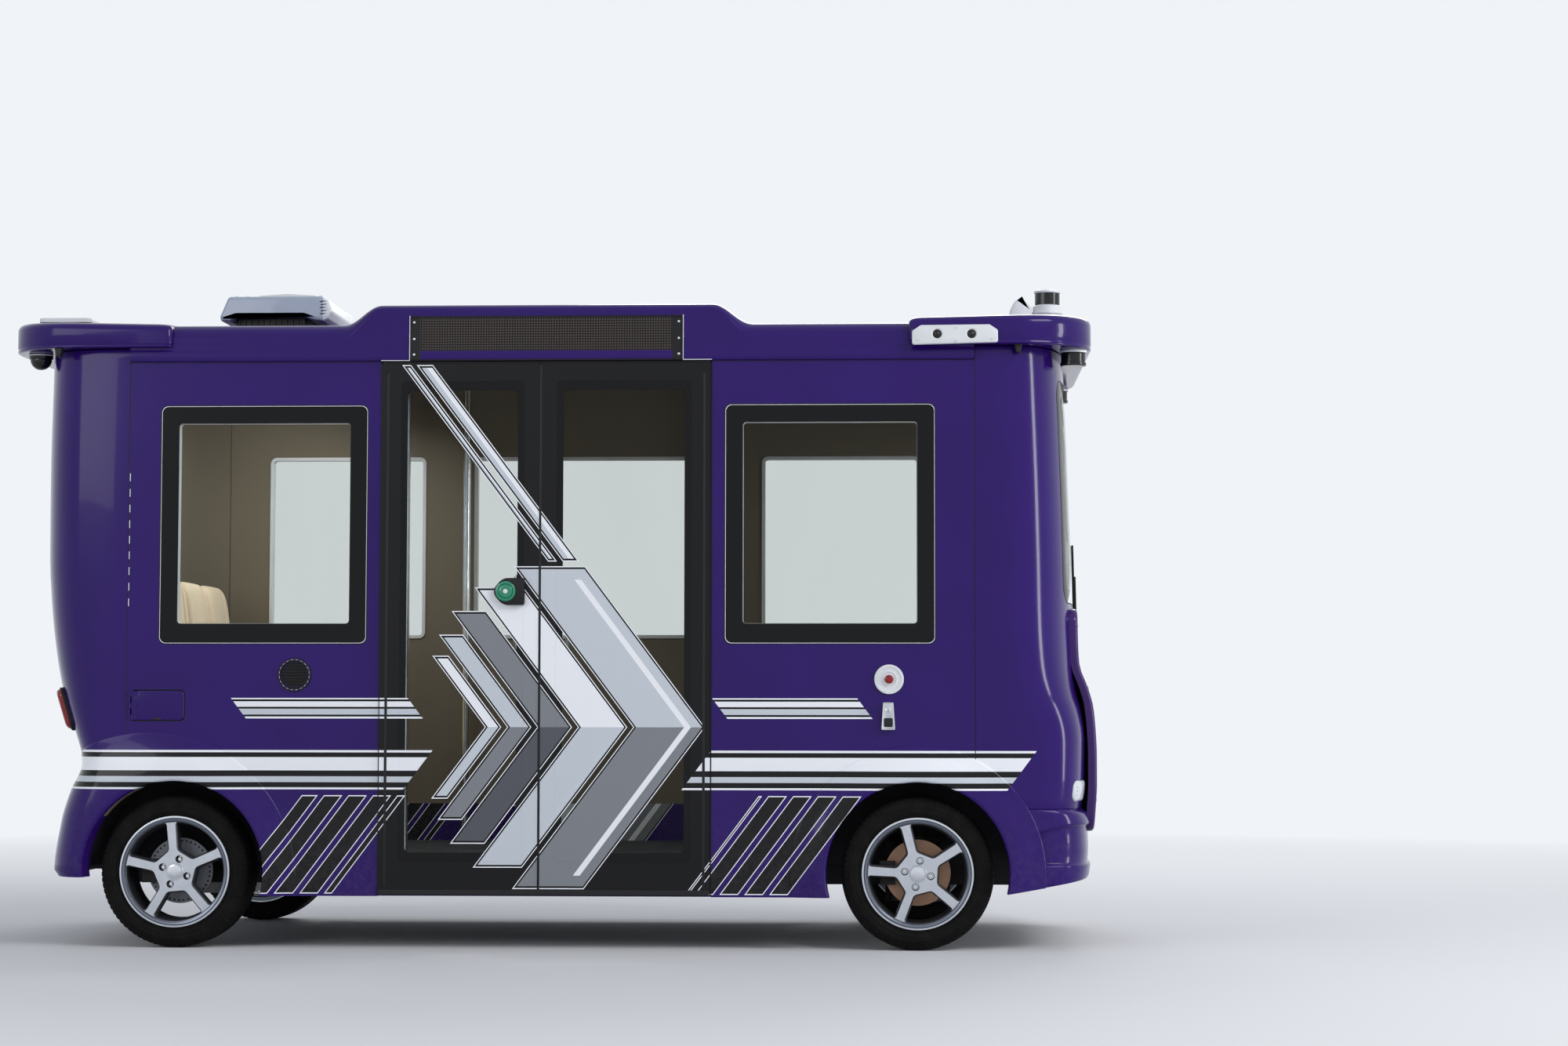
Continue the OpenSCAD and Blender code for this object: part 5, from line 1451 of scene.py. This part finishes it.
# %% Cooling unit
AC_Z, AC_HALF = 2.418, 0.275
AC_COVER = [
    # x, height over the roof's crown, radius of the corner: counterclockwise from the rear foot
    (-1.402, 0.060, 0.006), (-1.366, 0.060, 0.010), (-1.340, 0.078, 0.012), (-1.066, 0.078, 0.012),
    (-1.020, 0.062, 0.012), (-0.985, 0.058, 0.010), (-0.962, 0.068, 0.012), (-0.946, 0.096, 0.018),
    (-0.962, 0.142, 0.020), (-0.996, 0.1600, 0.036), (-1.372, 0.1590, 0.018), (-1.407, 0.076, 0.010),
]
AC_LID = [(-1.270, 0.154, 0), (-1.030, 0.154, 0), (-1.036, 0.176, 0.006), (-1.150, 0.1830, 0.2), (-1.264, 0.176, 0.006)]
AC_ENDS = [(0.014, AC_HALF), (0.006, AC_HALF - 0.0015), (0.0015, AC_HALF - 0.006), (0.0, AC_HALF - 0.014)]


def across(*levels):
    """Levels for a form drawn out across the bus, the same on both sides."""
    return [*levels] + [(distance, -y) for distance, y in reversed(levels)]


def raised(outline, base):
    return [(x, z + base) for x, z in outline]


cover = (raised(fillet(AC_COVER, 8), AC_Z), across(*AC_ENDS), along_y)
cooler = build("cooler_cover", "silver_cover", ["ac_unit"], cover, finish=cooler_finish)
for k in range(5):
    foot, low = -1.000 + 0.003 * (k % 2), AC_Z + 0.084 + 0.0125 * k
    slot = [(foot, low), (foot + 0.022, low), (foot + 0.029, low + 0.0065), (foot + 0.007, low + 0.0065)]
    for y in (-AC_HALF - 0.01, AC_HALF - 0.012):
        carve(cooler, prism(slot, along_y, y, y + 0.022))
lid = raised(fillet(AC_LID, 6), AC_Z)
build("cooler_lid", "sensor_black", (), (lid, across((0.003, 0.170), (0.0, 0.167)), along_y))
lid_rim = across((-0.0015, 0.1745), (-0.003, 0.1725))
build("cooler_lid_rim", "sensor_white", (), (raised(lid, -0.0035), lid_rim, along_y))
ribs = [(rounded(x, -0.239, x + 0.010, 0.239, 0.003, 3), [(0.0, 0.070), (0.0, 0.016)], on_level(AC_Z))
        for x in [-1.338 + 0.024 * k for k in range(12)]]
block = (rounded(-1.350, -0.235, -1.056, 0.235, 0.02), [(0.0, 0.082), (0.0, 0.0)], on_level(AC_Z))
build("cooler_base", "black_plastic", ["ac_unit"], block, *ribs)
bolts = [(x, y) for x in (-1.345, -1.300, -1.000) for y in (-0.245, 0.245)]
build("cooler_bolts", "latch_chrome", (), *discs(bolts, 0.008, 6, lip(0.0015, 0.1645, 0.1632, 0.155), on_level(AC_Z)))

# %% Lidar on the front cap, with its fin
LIDAR_X, RIBS, RIB_DEEP = 1.950, 60, 0.0035
on_top = on_level(CAP_TOP)
LIDAR = [
    # radius, height, whether it is ribbed
    (0.0560, 0.0, 0), (0.0620, 0.001, 0), (0.0620, 0.014, 0), (0.0610, 0.016, 1), (0.0610, 0.086, 1),
    (0.0620, 0.088, 0), (0.0620, 0.093, 0), (0.0600, 0.0965, 0), (0.0592, 0.098, 0), (0.0592, 0.119, 0),
    (0.0570, 0.1215, 0), (0.0515, 0.124, 0),
]
HEAD = [(0.0160, 0.1860), (0.0070, 0.1855), (0.0010, 0.1825), (0.0, 0.1800), (0.0, 0.1750), (0.0030, 0.1728)]
FIN = [
    (1.780, -0.003, 0.0), (1.886, -0.003, 0.0), (1.886, 0.110, 0.01), (1.872, 0.124, 0.04),
    (1.850, 0.144, 0.06), (1.832, 0.1488, 0.02), (1.814, 0.136, 0.03), (1.798, 0.104, 0.08), (1.786, 0.056, 0.08),
]
lidar_bm = bmesh.new()
skin(lidar_bm, [
    [
        on_top(*polar(radius - ribbed * RIB_DEEP * (i % 4 < 2), 90 * i / RIBS, LIDAR_X), height)
        for i in range(RIBS * 4)
    ]
    for radius, height, ribbed in LIDAR
])
make_piece("lidar_base", lidar_bm, "sensor_white", ["roof_lidar"])
build("lidar_window", "sensor_black", (), (circle(LIDAR_X, 0, 0.0508, 64), [(0.0, 0.1735), (0.0, 0.122)], on_top))
build("lidar_head", "sensor_white", (), (circle(LIDAR_X, 0, 0.0540, 64), HEAD, on_top))
fin = (raised(fillet(FIN, 5), CAP_TOP), across((0.012, 0.045), (0.004, 0.0425), (0.0, 0.036)), along_y)
build("lidar_fin", "sensor_white", ["roof_lidar"], fin, sharp=30)

# %% Camera pods under the cap's edge
POD_X0, POD_X1, POD_Z0, POD_Z1, POD_T = 1.397, 1.722, 2.288, 2.364, 0.022
POD = [
    (POD_X0, POD_Z0, 0.008), (POD_X1, POD_Z0 + 0.008, 0.008), (POD_X1, POD_Z1 - 0.022, 0.010),
    (POD_X1 - 0.032, POD_Z1, 0.012), (POD_X0 + 0.033, POD_Z1 - 0.002, 0.012), (POD_X0, POD_Z1 - 0.024, 0.010),
]
POD_EDGE = [(0.004, POD_T), (0.001, POD_T - 0.0015), (0.0, POD_T - 0.005), (0.0, 0.0)]
LENSES = [(POD_X0 + 0.095, 2.328), (POD_X1 - 0.100, 2.328)]
LENS_HOLE = [(-0.004, 0.03), (-0.004, POD_T), (0.0, POD_T - 0.004), (0.0, 0.010)]
SCREWS = [(POD_X0 + 0.022, 2.304), (POD_X0 + 0.165, 2.350), (POD_X1 - 0.024, 2.308), (POD_X0 + 0.165, 2.300)]


def on_cap(x, z, out):
    """The flat flank of a roof cap on the right."""
    return Vector((x, -(CAP_Y + 0.0003 + out), z))


pods = build("pod_plates", "sensor_white", ["camera_pods"], (fillet(POD, 5), POD_EDGE, on_cap), both=True)
carve(pods, plates(discs(LENSES, 0.017, 40, LENS_HOLE, on_cap), both=True))
build("pod_lenses", "sensor_black", (), *[
    row for lens in LENSES
    for row in discs([lens], 0.0165, 40, [(0.003, 0.0185), (0.001, 0.0180), (0.0, 0.0165), (0.0, 0.008)], on_cap)
    + discs([lens], 0.0095, 32, [(0.006, 0.0212), (0.003, 0.0205), (0.0, 0.0186), (0.0, 0.008)], on_cap)
], both=True)
screw_edge = lip(0.001, POD_T + 0.0012, POD_T, POD_T - 0.003)
build("pod_screws", "latch_chrome", (), *discs(SCREWS, 0.0048, 20, screw_edge, on_cap), both=True)

# %% Corner lidars and dome cameras hang under the caps
HANG_Y, LOW_X, DOME_X = -0.700, 2.018, -2.010
hang = on_level(CAP_LOW - 0.0003)
LOW_LIDAR = [(0.0, 0.0), (0.0, -0.012), (0.003, -0.015), (0.003, -0.047), (0.0, -0.049), (0.0, -0.058), (0.004, -0.062)]
DOME = [(0.0, 0.0), (0.0, -0.016), (0.002, -0.0195), (0.005, -0.0202)]
turns = [math.radians(degrees) for degrees in range(6, 84, 7)]
DOME += [(0.046 - 0.0415 * math.cos(turn), -0.0202 - 0.0405 * math.sin(turn)) for turn in turns]
HANGING = [
    # name, slot, replaced nodes, x, radius, steps, levels
    ("corner_lidar_bodies", "sensor_black", ["corner_lidars"], LOW_X, 0.050, 72, LOW_LIDAR),
    ("corner_lidar_collars", "sensor_white", (), LOW_X, 0.0515, 72,
     [(0.001, -0.0005), (0.0, -0.002), (0.0, -0.009), (0.001, -0.0105)]),
    ("dome_bodies", "sensor_black", ["dome_cameras"], DOME_X, 0.046, 64, DOME),
    ("dome_bands", "sensor_white", (), DOME_X, 0.0466, 64,
     [(0.0004, -0.002), (0.0, -0.003), (0.0, -0.006), (0.0004, -0.007)]),
]
for name, slot, replaced, x, radius, steps, levels in HANGING:
    build(name, slot, replaced, *discs([(x, HANG_Y)], radius, steps, levels, hang), both=True)
print("roof kit done")

# %% [markdown]
# ## Pieces on the right side
#
# Small pieces are where a vehicle shows its size: a vent with a dashed ring, an emergency button,
# a lock, the door's push button, the charging flap and the sign over the door. Each is a plate or
# two with edges rounded by a millimetre or so, which is what catches the light.

# %% Sign over the door
SIGN_X, SIGN_LOW, SIGN_HIGH, SIGN_OUT, FACE_X = 0.522, SIDE_TOP + 0.001, 2.410, 0.017, 0.484
FRAME = [(0.0050, 0.0125), (0.0045, SIGN_OUT - 0.0008), (0.0035, SIGN_OUT), (0.0015, SIGN_OUT)]
FRAME += [(0.0, SIGN_OUT - 0.0015), (0.0, -0.020), (0.0050, -0.020)]
EDGE_Z = SIDE_TOP + 0.0015


def pair(u0, v0, u1, v1, radius, steps):
    """A rounded rectangle on either side of the middle."""
    return [rounded(a, v0, b, v1, radius, steps) for a, b in ((-u1, -u0), (u0, u1))]


cheeks = [
    (outline, lip(0.0012, 0.0158, 0.0148, -0.018), on_right)
    for outline in pair(FACE_X, SIGN_LOW + 0.0045, SIGN_X - 0.0045, SIGN_HIGH - 0.0045, 0.003, 4)
]
surround = (rounded(-SIGN_X, SIGN_LOW, SIGN_X, SIGN_HIGH, 0.006, 5), FRAME, on_right, *HOLLOW)
build("sign_frame", "sign_black", ["led_sign"], surround, *cheeks)
face = rounded(-FACE_X + 0.0005, SIGN_LOW + 0.0055, FACE_X - 0.0005, SIGN_HIGH - 0.0055, 0.002, 3)
build("sign_matrix", "sign_black", (), (face, [(0.0, 0.0142), (0.0, -0.018)], on_right), finish=matrix_finish)
screws = [(x, z) for x in (-0.508, 0.508) for z in (2.262, 2.322, 2.386)]
build("sign_screws", "latch_chrome", (), *discs(screws, 0.0045, 18, lip(0.001, 0.0172, 0.0165, 0.0130), on_right))
KEY_LINES = ((0.5235, EDGE_Z, 0.5262, 2.412), (0.5262, EDGE_Z, 0.6345, EDGE_Z + 0.0027))
build("sign_key_lines", "sensor_white", (), *[
    (outline, lip(0.0003, 0.0170, 0.0160, 0.0), on_right) for box in KEY_LINES for outline in pair(*box, 0.0008, 2)
])

# %% Round vent with a dashed ring
VENT_X, VENT_Z, VENT_R = -0.958, 1.038, 0.063
SLAT_STEP = 0.0115
COLLAR = [
    (0.0100, 0.0050), (0.0085, 0.0078), (0.0020, 0.0078), (0.0005, 0.0066), (0.0, 0.0045), (0.0, 0.0003),
    (0.0100, 0.0003),
]


def dash(degrees):
    turns = [degrees + 2.6 * k for k in range(5)]
    return [polar(0.0590, t, VENT_X, VENT_Z) for t in turns] + [polar(0.0567, t, VENT_X, VENT_Z) for t in turns[::-1]]


build("vent_collar", "black_plastic", ["round_vent"], (circle(VENT_X, VENT_Z, VENT_R, 72), COLLAR, on_right, *HOLLOW))
back = (circle(VENT_X, VENT_Z, VENT_R - 0.0095, 64), [(0.0, -0.004), (0.0, -0.020)], on_right)
build("vent_slats", "black_plastic", ["round_vent"], back, *[
    (bar(VENT_X, VENT_Z + z, math.sqrt(0.051**2 - z * z), 0.002, 0.0015), lip(0.0006, 0.0035, 0.0025, -0.006), on_right)
    for z in [SLAT_STEP * k for k in range(-4, 5)]
])
dashes = [(dash(4 + 18 * i), [(0.0, 0.0084), (0.0, 0.0076)], on_right) for i in range(20)]
build("vent_dashes", "cast_alloy", (), *dashes)

# %% [markdown]
# The stop button, the lock and the door's push button are small plates that differ only in
# outline and edge, so they stand in one table.

# %% Stop button, lock and the door's push button
DOOR_OUT = 0.008
STOP = (1.308, 1.022)
LOCK_X = 1.305
BUTTON = (-0.148, 1.355)


def on_door(x, z, out):
    return on_right(x, z, DOOR_OUT + out)


STOP_DISC = [
    (0.0300, 0.0070), (0.0285, 0.0085), (0.0255, 0.0085), (0.0240, 0.0070), (0.0130, 0.0070), (0.0115, 0.0088),
    (0.0030, 0.0100), (0.0008, 0.0092), (0.0, 0.0070), (0.0, 0.0003),
]
KNOB = [
    (0.0100, 0.0212), (0.0040, 0.0205), (0.0012, 0.0185), (0.0, 0.0155), (0.0015, 0.0130), (0.0050, 0.0110),
    (0.0050, 0.0060),
]
LOCK = [(-0.029, 0.828, 0.007), (0.029, 0.828, 0.007), (0.022, 0.937, 0.006), (-0.022, 0.937, 0.006)]
LOCK_EDGE = [(0.007, 0.0215), (0.003, 0.0205), (0.0008, 0.0170), (0.0, 0.0120), (0.0, 0.0003)]
HOUSING = [
    (-0.160, 1.303, 0.045), (-0.077, 1.303, 0.008), (-0.077, 1.406, 0.008), (-0.160, 1.406, 0.045),
    (-0.203, 1.3545, 0.035),
]
RING = [(0.0110, 0.0262), (0.0090, 0.0285), (0.0030, 0.0285), (0.0006, 0.0270), (0.0, 0.0236), (0.0110, 0.0236)]
PUSH = [(0.0120, 0.0298), (0.0040, 0.0292), (0.0008, 0.0272), (0.0, 0.0236)]
BUTTONS = [
    # name, slot, replaced nodes, plates, finish where it isn't the slot's own
    ("stop_disc", "sensor_white", ["stop_button"], [(circle(*STOP, 0.056, 72), STOP_DISC, on_right)], None),
    ("stop_knob", "lamp_red", ["stop_button"], [(circle(*STOP, 0.0165, 48), KNOB, on_right)], None),
    ("lock_plate", "latch_chrome", ["side_latch"], [
        (fillet([(LOCK_X + u, v, radius) for u, v, radius in LOCK], 5), LOCK_EDGE, on_right),
        (circle(LOCK_X, 0.905, 0.0105, 32), lip(0.002, 0.0232, 0.0224, 0.0200), on_right),
    ], None),
    ("lock_slit", "sensor_black", (), [
        (bar(LOCK_X, 0.905, 0.0012, 0.006, 0.0008), [(0.0, 0.0236), (0.0, 0.0230)], on_right),
        (bar(LOCK_X, 0.859, 0.017, 0.017, 0.006, 4), lip(0.0015, 0.0222, 0.0218, 0.0205), on_right),
    ], None),
    ("button_housing", "black_plastic", ["door_button"], [
        (fillet(HOUSING, 8), [(0.006, 0.0238), (0.002, 0.0225), (0.0, 0.0195), (0.0, 0.0003)], on_door),
    ], None),
    ("button_ring", "black_plastic", ["door_button"], [
        (circle(*BUTTON, 0.0385, 60), RING, on_door, *HOLLOW),
    ], green_finish),
    ("button_push", "black_plastic", (), [(circle(*BUTTON, 0.0272, 48), PUSH, on_door)], green_finish),
    ("button_dot", "sensor_white", (), [
        (circle(*BUTTON, 0.0085, 32), lip(0.0020, 0.0312, 0.0306, 0.0290), on_door),
    ], None),
]
for name, slot, replaced, rows, finish in BUTTONS:
    build(name, slot, replaced, *rows, finish=finish)

# %% Charging flap with its hinge, seal and inlet
FLAP_LOW, FLAP_HIGH = 0.865, 0.977
FLAP_EDGE = [(0.003, -0.0002), (0.001, -0.0006), (0.0, -0.0016), (0.0, -0.004)]
HINGE_X, HINGE_R, KNUCKLES = -1.592, 0.003, 5
INLET = (-1.485, 0.921)
PIN = lip(0.001, -0.0150, -0.0158, -0.0205)

step = (FLAP_HIGH - FLAP_LOW) / KNUCKLES
arm_out, arm_in = -(SIDE_Y + 0.0023), -(SIDE_Y - 0.0001)
arm = [(HINGE_X, arm_out), (HINGE_X + 0.030, arm_out), (HINGE_X + 0.030, arm_in), (HINGE_X, arm_in)]
barrel = circle(HINGE_X, -(SIDE_Y + HINGE_R + 0.0003), HINGE_R, 20)
knuckle_edge = [(0.0004, step - 0.002), (0.0, step - 0.0024), (0.0, 0.0004), (0.0004, 0.0)]
flap_rows = [(rounded(-1.587, FLAP_LOW, -1.383, FLAP_HIGH, 0.018, 6), FLAP_EDGE, on_right)]
for k in range(0, KNUCKLES, 2):
    knuckle = on_level(FLAP_LOW + k * step + 0.001)
    flap_rows += [(barrel, knuckle_edge, knuckle), (arm, [(0.0, step - 0.002), (0.0, 0.0)], knuckle)]
build("flap_skin", "body_violet", ["charge_flap"], *flap_rows, body="charge_flap")
notch = (bar(-1.486, 0.870, 0.014, 0.004, 0.0035, 4), lip(0.0006, 0.0012, 0.0006, -0.003), on_right)
build("flap_notch", "sensor_black", (), notch, body="charge_flap")
seal_edge = [(0.0028, -0.004), (0.0022, -0.0004), (0.0006, -0.0002), (0.0, -0.004)]
seal = rounded(-1.5925, 0.8595, -1.3775, 0.9825, 0.022, 6)
build("flap_seal", "black_plastic", (), (seal, seal_edge, on_right, *HOLLOW))
pins = discs(around(6, 0, 0.018, *INLET), 0.0042, 20, PIN, on_right)
build("inlet_pins", "latch_chrome", (), *pins, *discs([INLET], 0.0055, 20, PIN, on_right))

# %% [markdown]
# ## Doors, seams and seals
#
# The leaves get a rubber seal where they meet, a sill strip below and a lighter strip on their
# outer stiles. Seams between panels are thin dark strips that stand in the joints.

# %% Door rubber and trim
SPLIT_X = -0.020
JOINT = lip(0.0008, 0.0020, 0.0005, -0.012)
STRIP = [(0.0015, 0.0018), (0.0005, 0.0014), (0.0, 0.0), (0.0, -0.002)]
RUBBER = [(0.0025, 0.0022), (0.0010, 0.0015), (0.0, 0.0), (0.0, -0.020)]
SILL = [(0.0020, 0.0035), (0.0006, 0.0025), (0.0, 0.0010), (0.0, -0.002)]
RAIL_Y, RAIL_LOW, RAIL_HIGH = -(SIDE_Y - 0.055), 0.98, 1.42

build(
    "door_rubber", "black_plastic", (),
    (rounded(SPLIT_X - 0.0045, 0.208, SPLIT_X + 0.0045, 2.226, 0.003, 3), RUBBER, on_door),
    *[(rounded(x - 0.0022, 0.205, x + 0.0022, 2.232, 0.0015, 2), JOINT, on_right) for x in (-0.6325, 0.6325)],
    (rounded(-0.630, 2.2285, 0.630, 2.2365, 0.002, 3), JOINT, on_right),
)
strips = [rounded(x - 0.0050, 0.240, x + 0.0050, 2.190, 0.004, 4) for x in (-0.606, 0.606)]
build("door_strips", "frame_black", (), *[(strip, STRIP, on_door) for strip in strips])
build("door_sill", "frame_black", (), (rounded(-0.628, 0.2065, 0.628, 0.226, 0.004, 4), SILL, on_door))
rail_rows = []
for x in (-0.118, 0.080):
    rod = [(0.0015, RAIL_HIGH), (0.0, RAIL_HIGH - 0.002), (0.0, RAIL_LOW + 0.002), (0.0015, RAIL_LOW)]
    rail_rows += [(circle(x, RAIL_Y, 0.009, 20), rod, on_level(0))]
    feet = [(x, RAIL_LOW + 0.03), (x, RAIL_HIGH - 0.03)]
    rail_rows += discs(feet, 0.006, 16, [(0.0, RAIL_Y), (0.0, -(SIDE_Y - 0.024))], along_y)
build("door_handrails", "pole_steel", (), *rail_rows)

# %% Seams of the body, seals and reveals of the side windows
WINDOW_SEAL = [(0.0026, -0.006), (0.0022, 0.0004), (0.0004, 0.0012), (-0.0014, 0.0008), (-0.0022, -0.006)]
REVEAL = [
    (0.0015, -0.0075), (0.0015, -0.0445), (0.0, -0.046), (-0.012, -0.046), (-0.014, -0.044), (-0.014, -0.0403),
    (0.0003, -0.0403), (0.0003, -0.0075),
]

seams = [
    (rounded(x - 0.0014, 0.660, x + 0.0014, 2.236, 0.001, 2), lip(0.0004, 0.0004, 0.0, -0.008), on_right)
    for x in (-SEAM_REAR, SEAM_FRONT)
]
seams += [
    (rounded(x0, SIDE_TOP - 0.0012, x1, SIDE_TOP + 0.0012, 0.0008, 2), [(0.0, 0.0006), (0.0, -0.008)], on_right)
    for x0, x1 in ((-SEAM_REAR, -0.636), (0.636, SEAM_FRONT))
]
build("body_seams", "black_plastic", (), *seams, both=True)


def window_frames(name, slot, levels, low, high, side, radius, finish=None):
    """A hollow profile round all five side windows, inset by the given borders."""
    def frame_at(x, half, place):
        outline = rounded(x - half + side, WINDOW_Z0 + low, x + half - side, WINDOW_Z1 - high, radius)
        return outline, levels, place, *HOLLOW

    bm = plates([frame_at(x, WINDOW_HALF, on_right) for x in (-WINDOW_X, WINDOW_X)], both=True)
    make_piece(name, plate(bm, *frame_at(0.0, MIDDLE_HALF, on_left)), slot, finish=finish)


window_frames("window_seals", "black_plastic", WINDOW_SEAL, 0.0, 0.0, 0.0, 0.026)
window_frames("window_trims", "seat_beige", REVEAL, FRIT_LOW, FRIT_HIGH, FRIT_X, 0.014, MATERIALS["sensor_white"])
build("poles_left", "pole_steel", (), *[
    (circle(x, 0.765, radius, 28), lip(0.001, high, high - 0.001, low), on_level(0))
    for x in (-0.548, 0.548)
    for radius, low, high in ((POLE_R, 0.341, 2.325), (0.032, 0.3405, 0.347), (0.029, 2.320, 2.327))
])
build("rear_marker", "sensor_white", (), *[
    (rounded(-1.6035, z, -1.6005, z + 0.030, 0.0012, 2), [(0.0, 0.0012), (0.0, -0.001)], on_right)
    for z in [1.30 + 0.06 * k for k in range(9)]
])

# %% [markdown]
# ## Lamps, wiper and the last small pieces
#
# Lamps and wiper lie on the curved ends, so their plates get rings of points between middle and
# edge, or extra points along their long edges.

# %% Lamps
def lamp_outline(y0, z0, y1, z1):
    return fillet([(y0, z0, 0.03), (y1, z0, 0.03), (y1, z1, 0.03), (y0, z1, 0.03)], 8)


HEAD_EDGE = [(0.012, 0.0078), (0.005, 0.0066), (0.001, 0.0030), (0.0, 0.0003)]
TAIL = lamp_outline(-0.740, 0.830, -0.540, 0.985)
TAIL_EDGE = [(0.022, 0.0295), (0.012, 0.0280), (0.004, 0.0225), (0.0, 0.0140), (0.0, 0.0120)]
HOUSE_EDGE = [(0.004, 0.0135), (0.001, 0.0125), (0.0, 0.0090), (0.0, 0.0003)]

head = (lamp_outline(-0.810, 0.560, -0.650, 0.640), HEAD_EDGE, front_wall.face, 5)
build("headlamp_lenses", "lamp_clear", ["headlamps"], head, both=True)
build("headlamp_strips", "latch_chrome", (), *[
    (rounded(-0.795, z - 0.003, -0.665, z + 0.003, 0.0028, 4), lip(0.0008, 0.0098, 0.0090, 0.0060), front_wall.face)
    for z in (0.585, 0.600, 0.615)
], both=True)
build("tail_lenses", "lamp_red", ["tail_lamps"], (TAIL, TAIL_EDGE, rear_wall.face, 5), both=True)
build("tail_housings", "black_plastic", ["tail_lamps"], (inset(TAIL, -0.006), HOUSE_EDGE, rear_wall.face, 5), both=True)
third = (rounded(-0.210, 2.150, 0.210, 2.172, 0.008, 5), [(0.004, 0.0075), (0.001, 0.0060), (0.0, 0.0)], rear_wall.face)
build("high_stop_lamp", "lamp_red", (), third)

# %% Wiper
WIPER_Y, WIPER_Z, ARM_LONG = -0.320, 1.135, 0.30
ARM = [(-0.008, 0.0), (0.008, 0.0), (0.005, ARM_LONG), (-0.005, ARM_LONG)]
PIVOT_EDGE = [(0.004, 0.0180), (0.001, 0.0165), (0.0, 0.0140), (0.0, 0.0005)]
pivot = (circle(WIPER_Y, WIPER_Z, 0.017, 32), PIVOT_EDGE, front_wall.face)
arm = dense([(WIPER_Y + u, WIPER_Z + v) for u, v in ARM], 0.0375, least=8)
blade = dense(rounded(WIPER_Y - 0.0045, WIPER_Z + 0.05, WIPER_Y + 0.0045, WIPER_Z + 0.425, 0.003, 3), 0.04)
blade_edge = [(0.001, 0.0112), (0.0, 0.0100), (0.0, 0.0062), (0.0032, 0.0020)]
arm_row = (arm, lip(0.001, 0.0170, 0.0155, 0.0110), front_wall.face)
build("wiper_arm", "black_plastic", ["wiper"], pivot, arm_row, (blade, blade_edge, front_wall.face))

# %% Flat aerial, brackets under both caps, and screws on the nose
WEDGE = [(-0.017, 2.300), (-0.007, 2.262), (0.007, 2.262), (0.017, 2.300)]
AERIAL = [(0.005, 2.4290), (0.0012, 2.4280), (0.0, 2.4255), (0.0, 2.4120)]
build("flat_aerial", "sensor_white", (), (rounded(-2.005, -0.760, -1.800, -0.600, 0.020), AERIAL, on_level(0)))
wedges = [fillet([(x + u, v, 0.004) for u, v in WEDGE], 4) for x in (-1.885, 1.800)]
brackets = [(wedge, lip(0.003, 0.0210, 0.0185, -0.020), on_right) for wedge in wedges]
build("cap_brackets", "frame_black", (), *brackets, both=True)
screws = [(-0.580, 0.995), (-0.580, 0.560), (-0.590, 1.235)]
screw_edge = lip(0.002, 0.0022, 0.0010, -0.004)
build("nose_screws", "latch_chrome", (), *discs(screws, 0.0075, 20, screw_edge, nose_wall.face), both=True)
print("small pieces done")
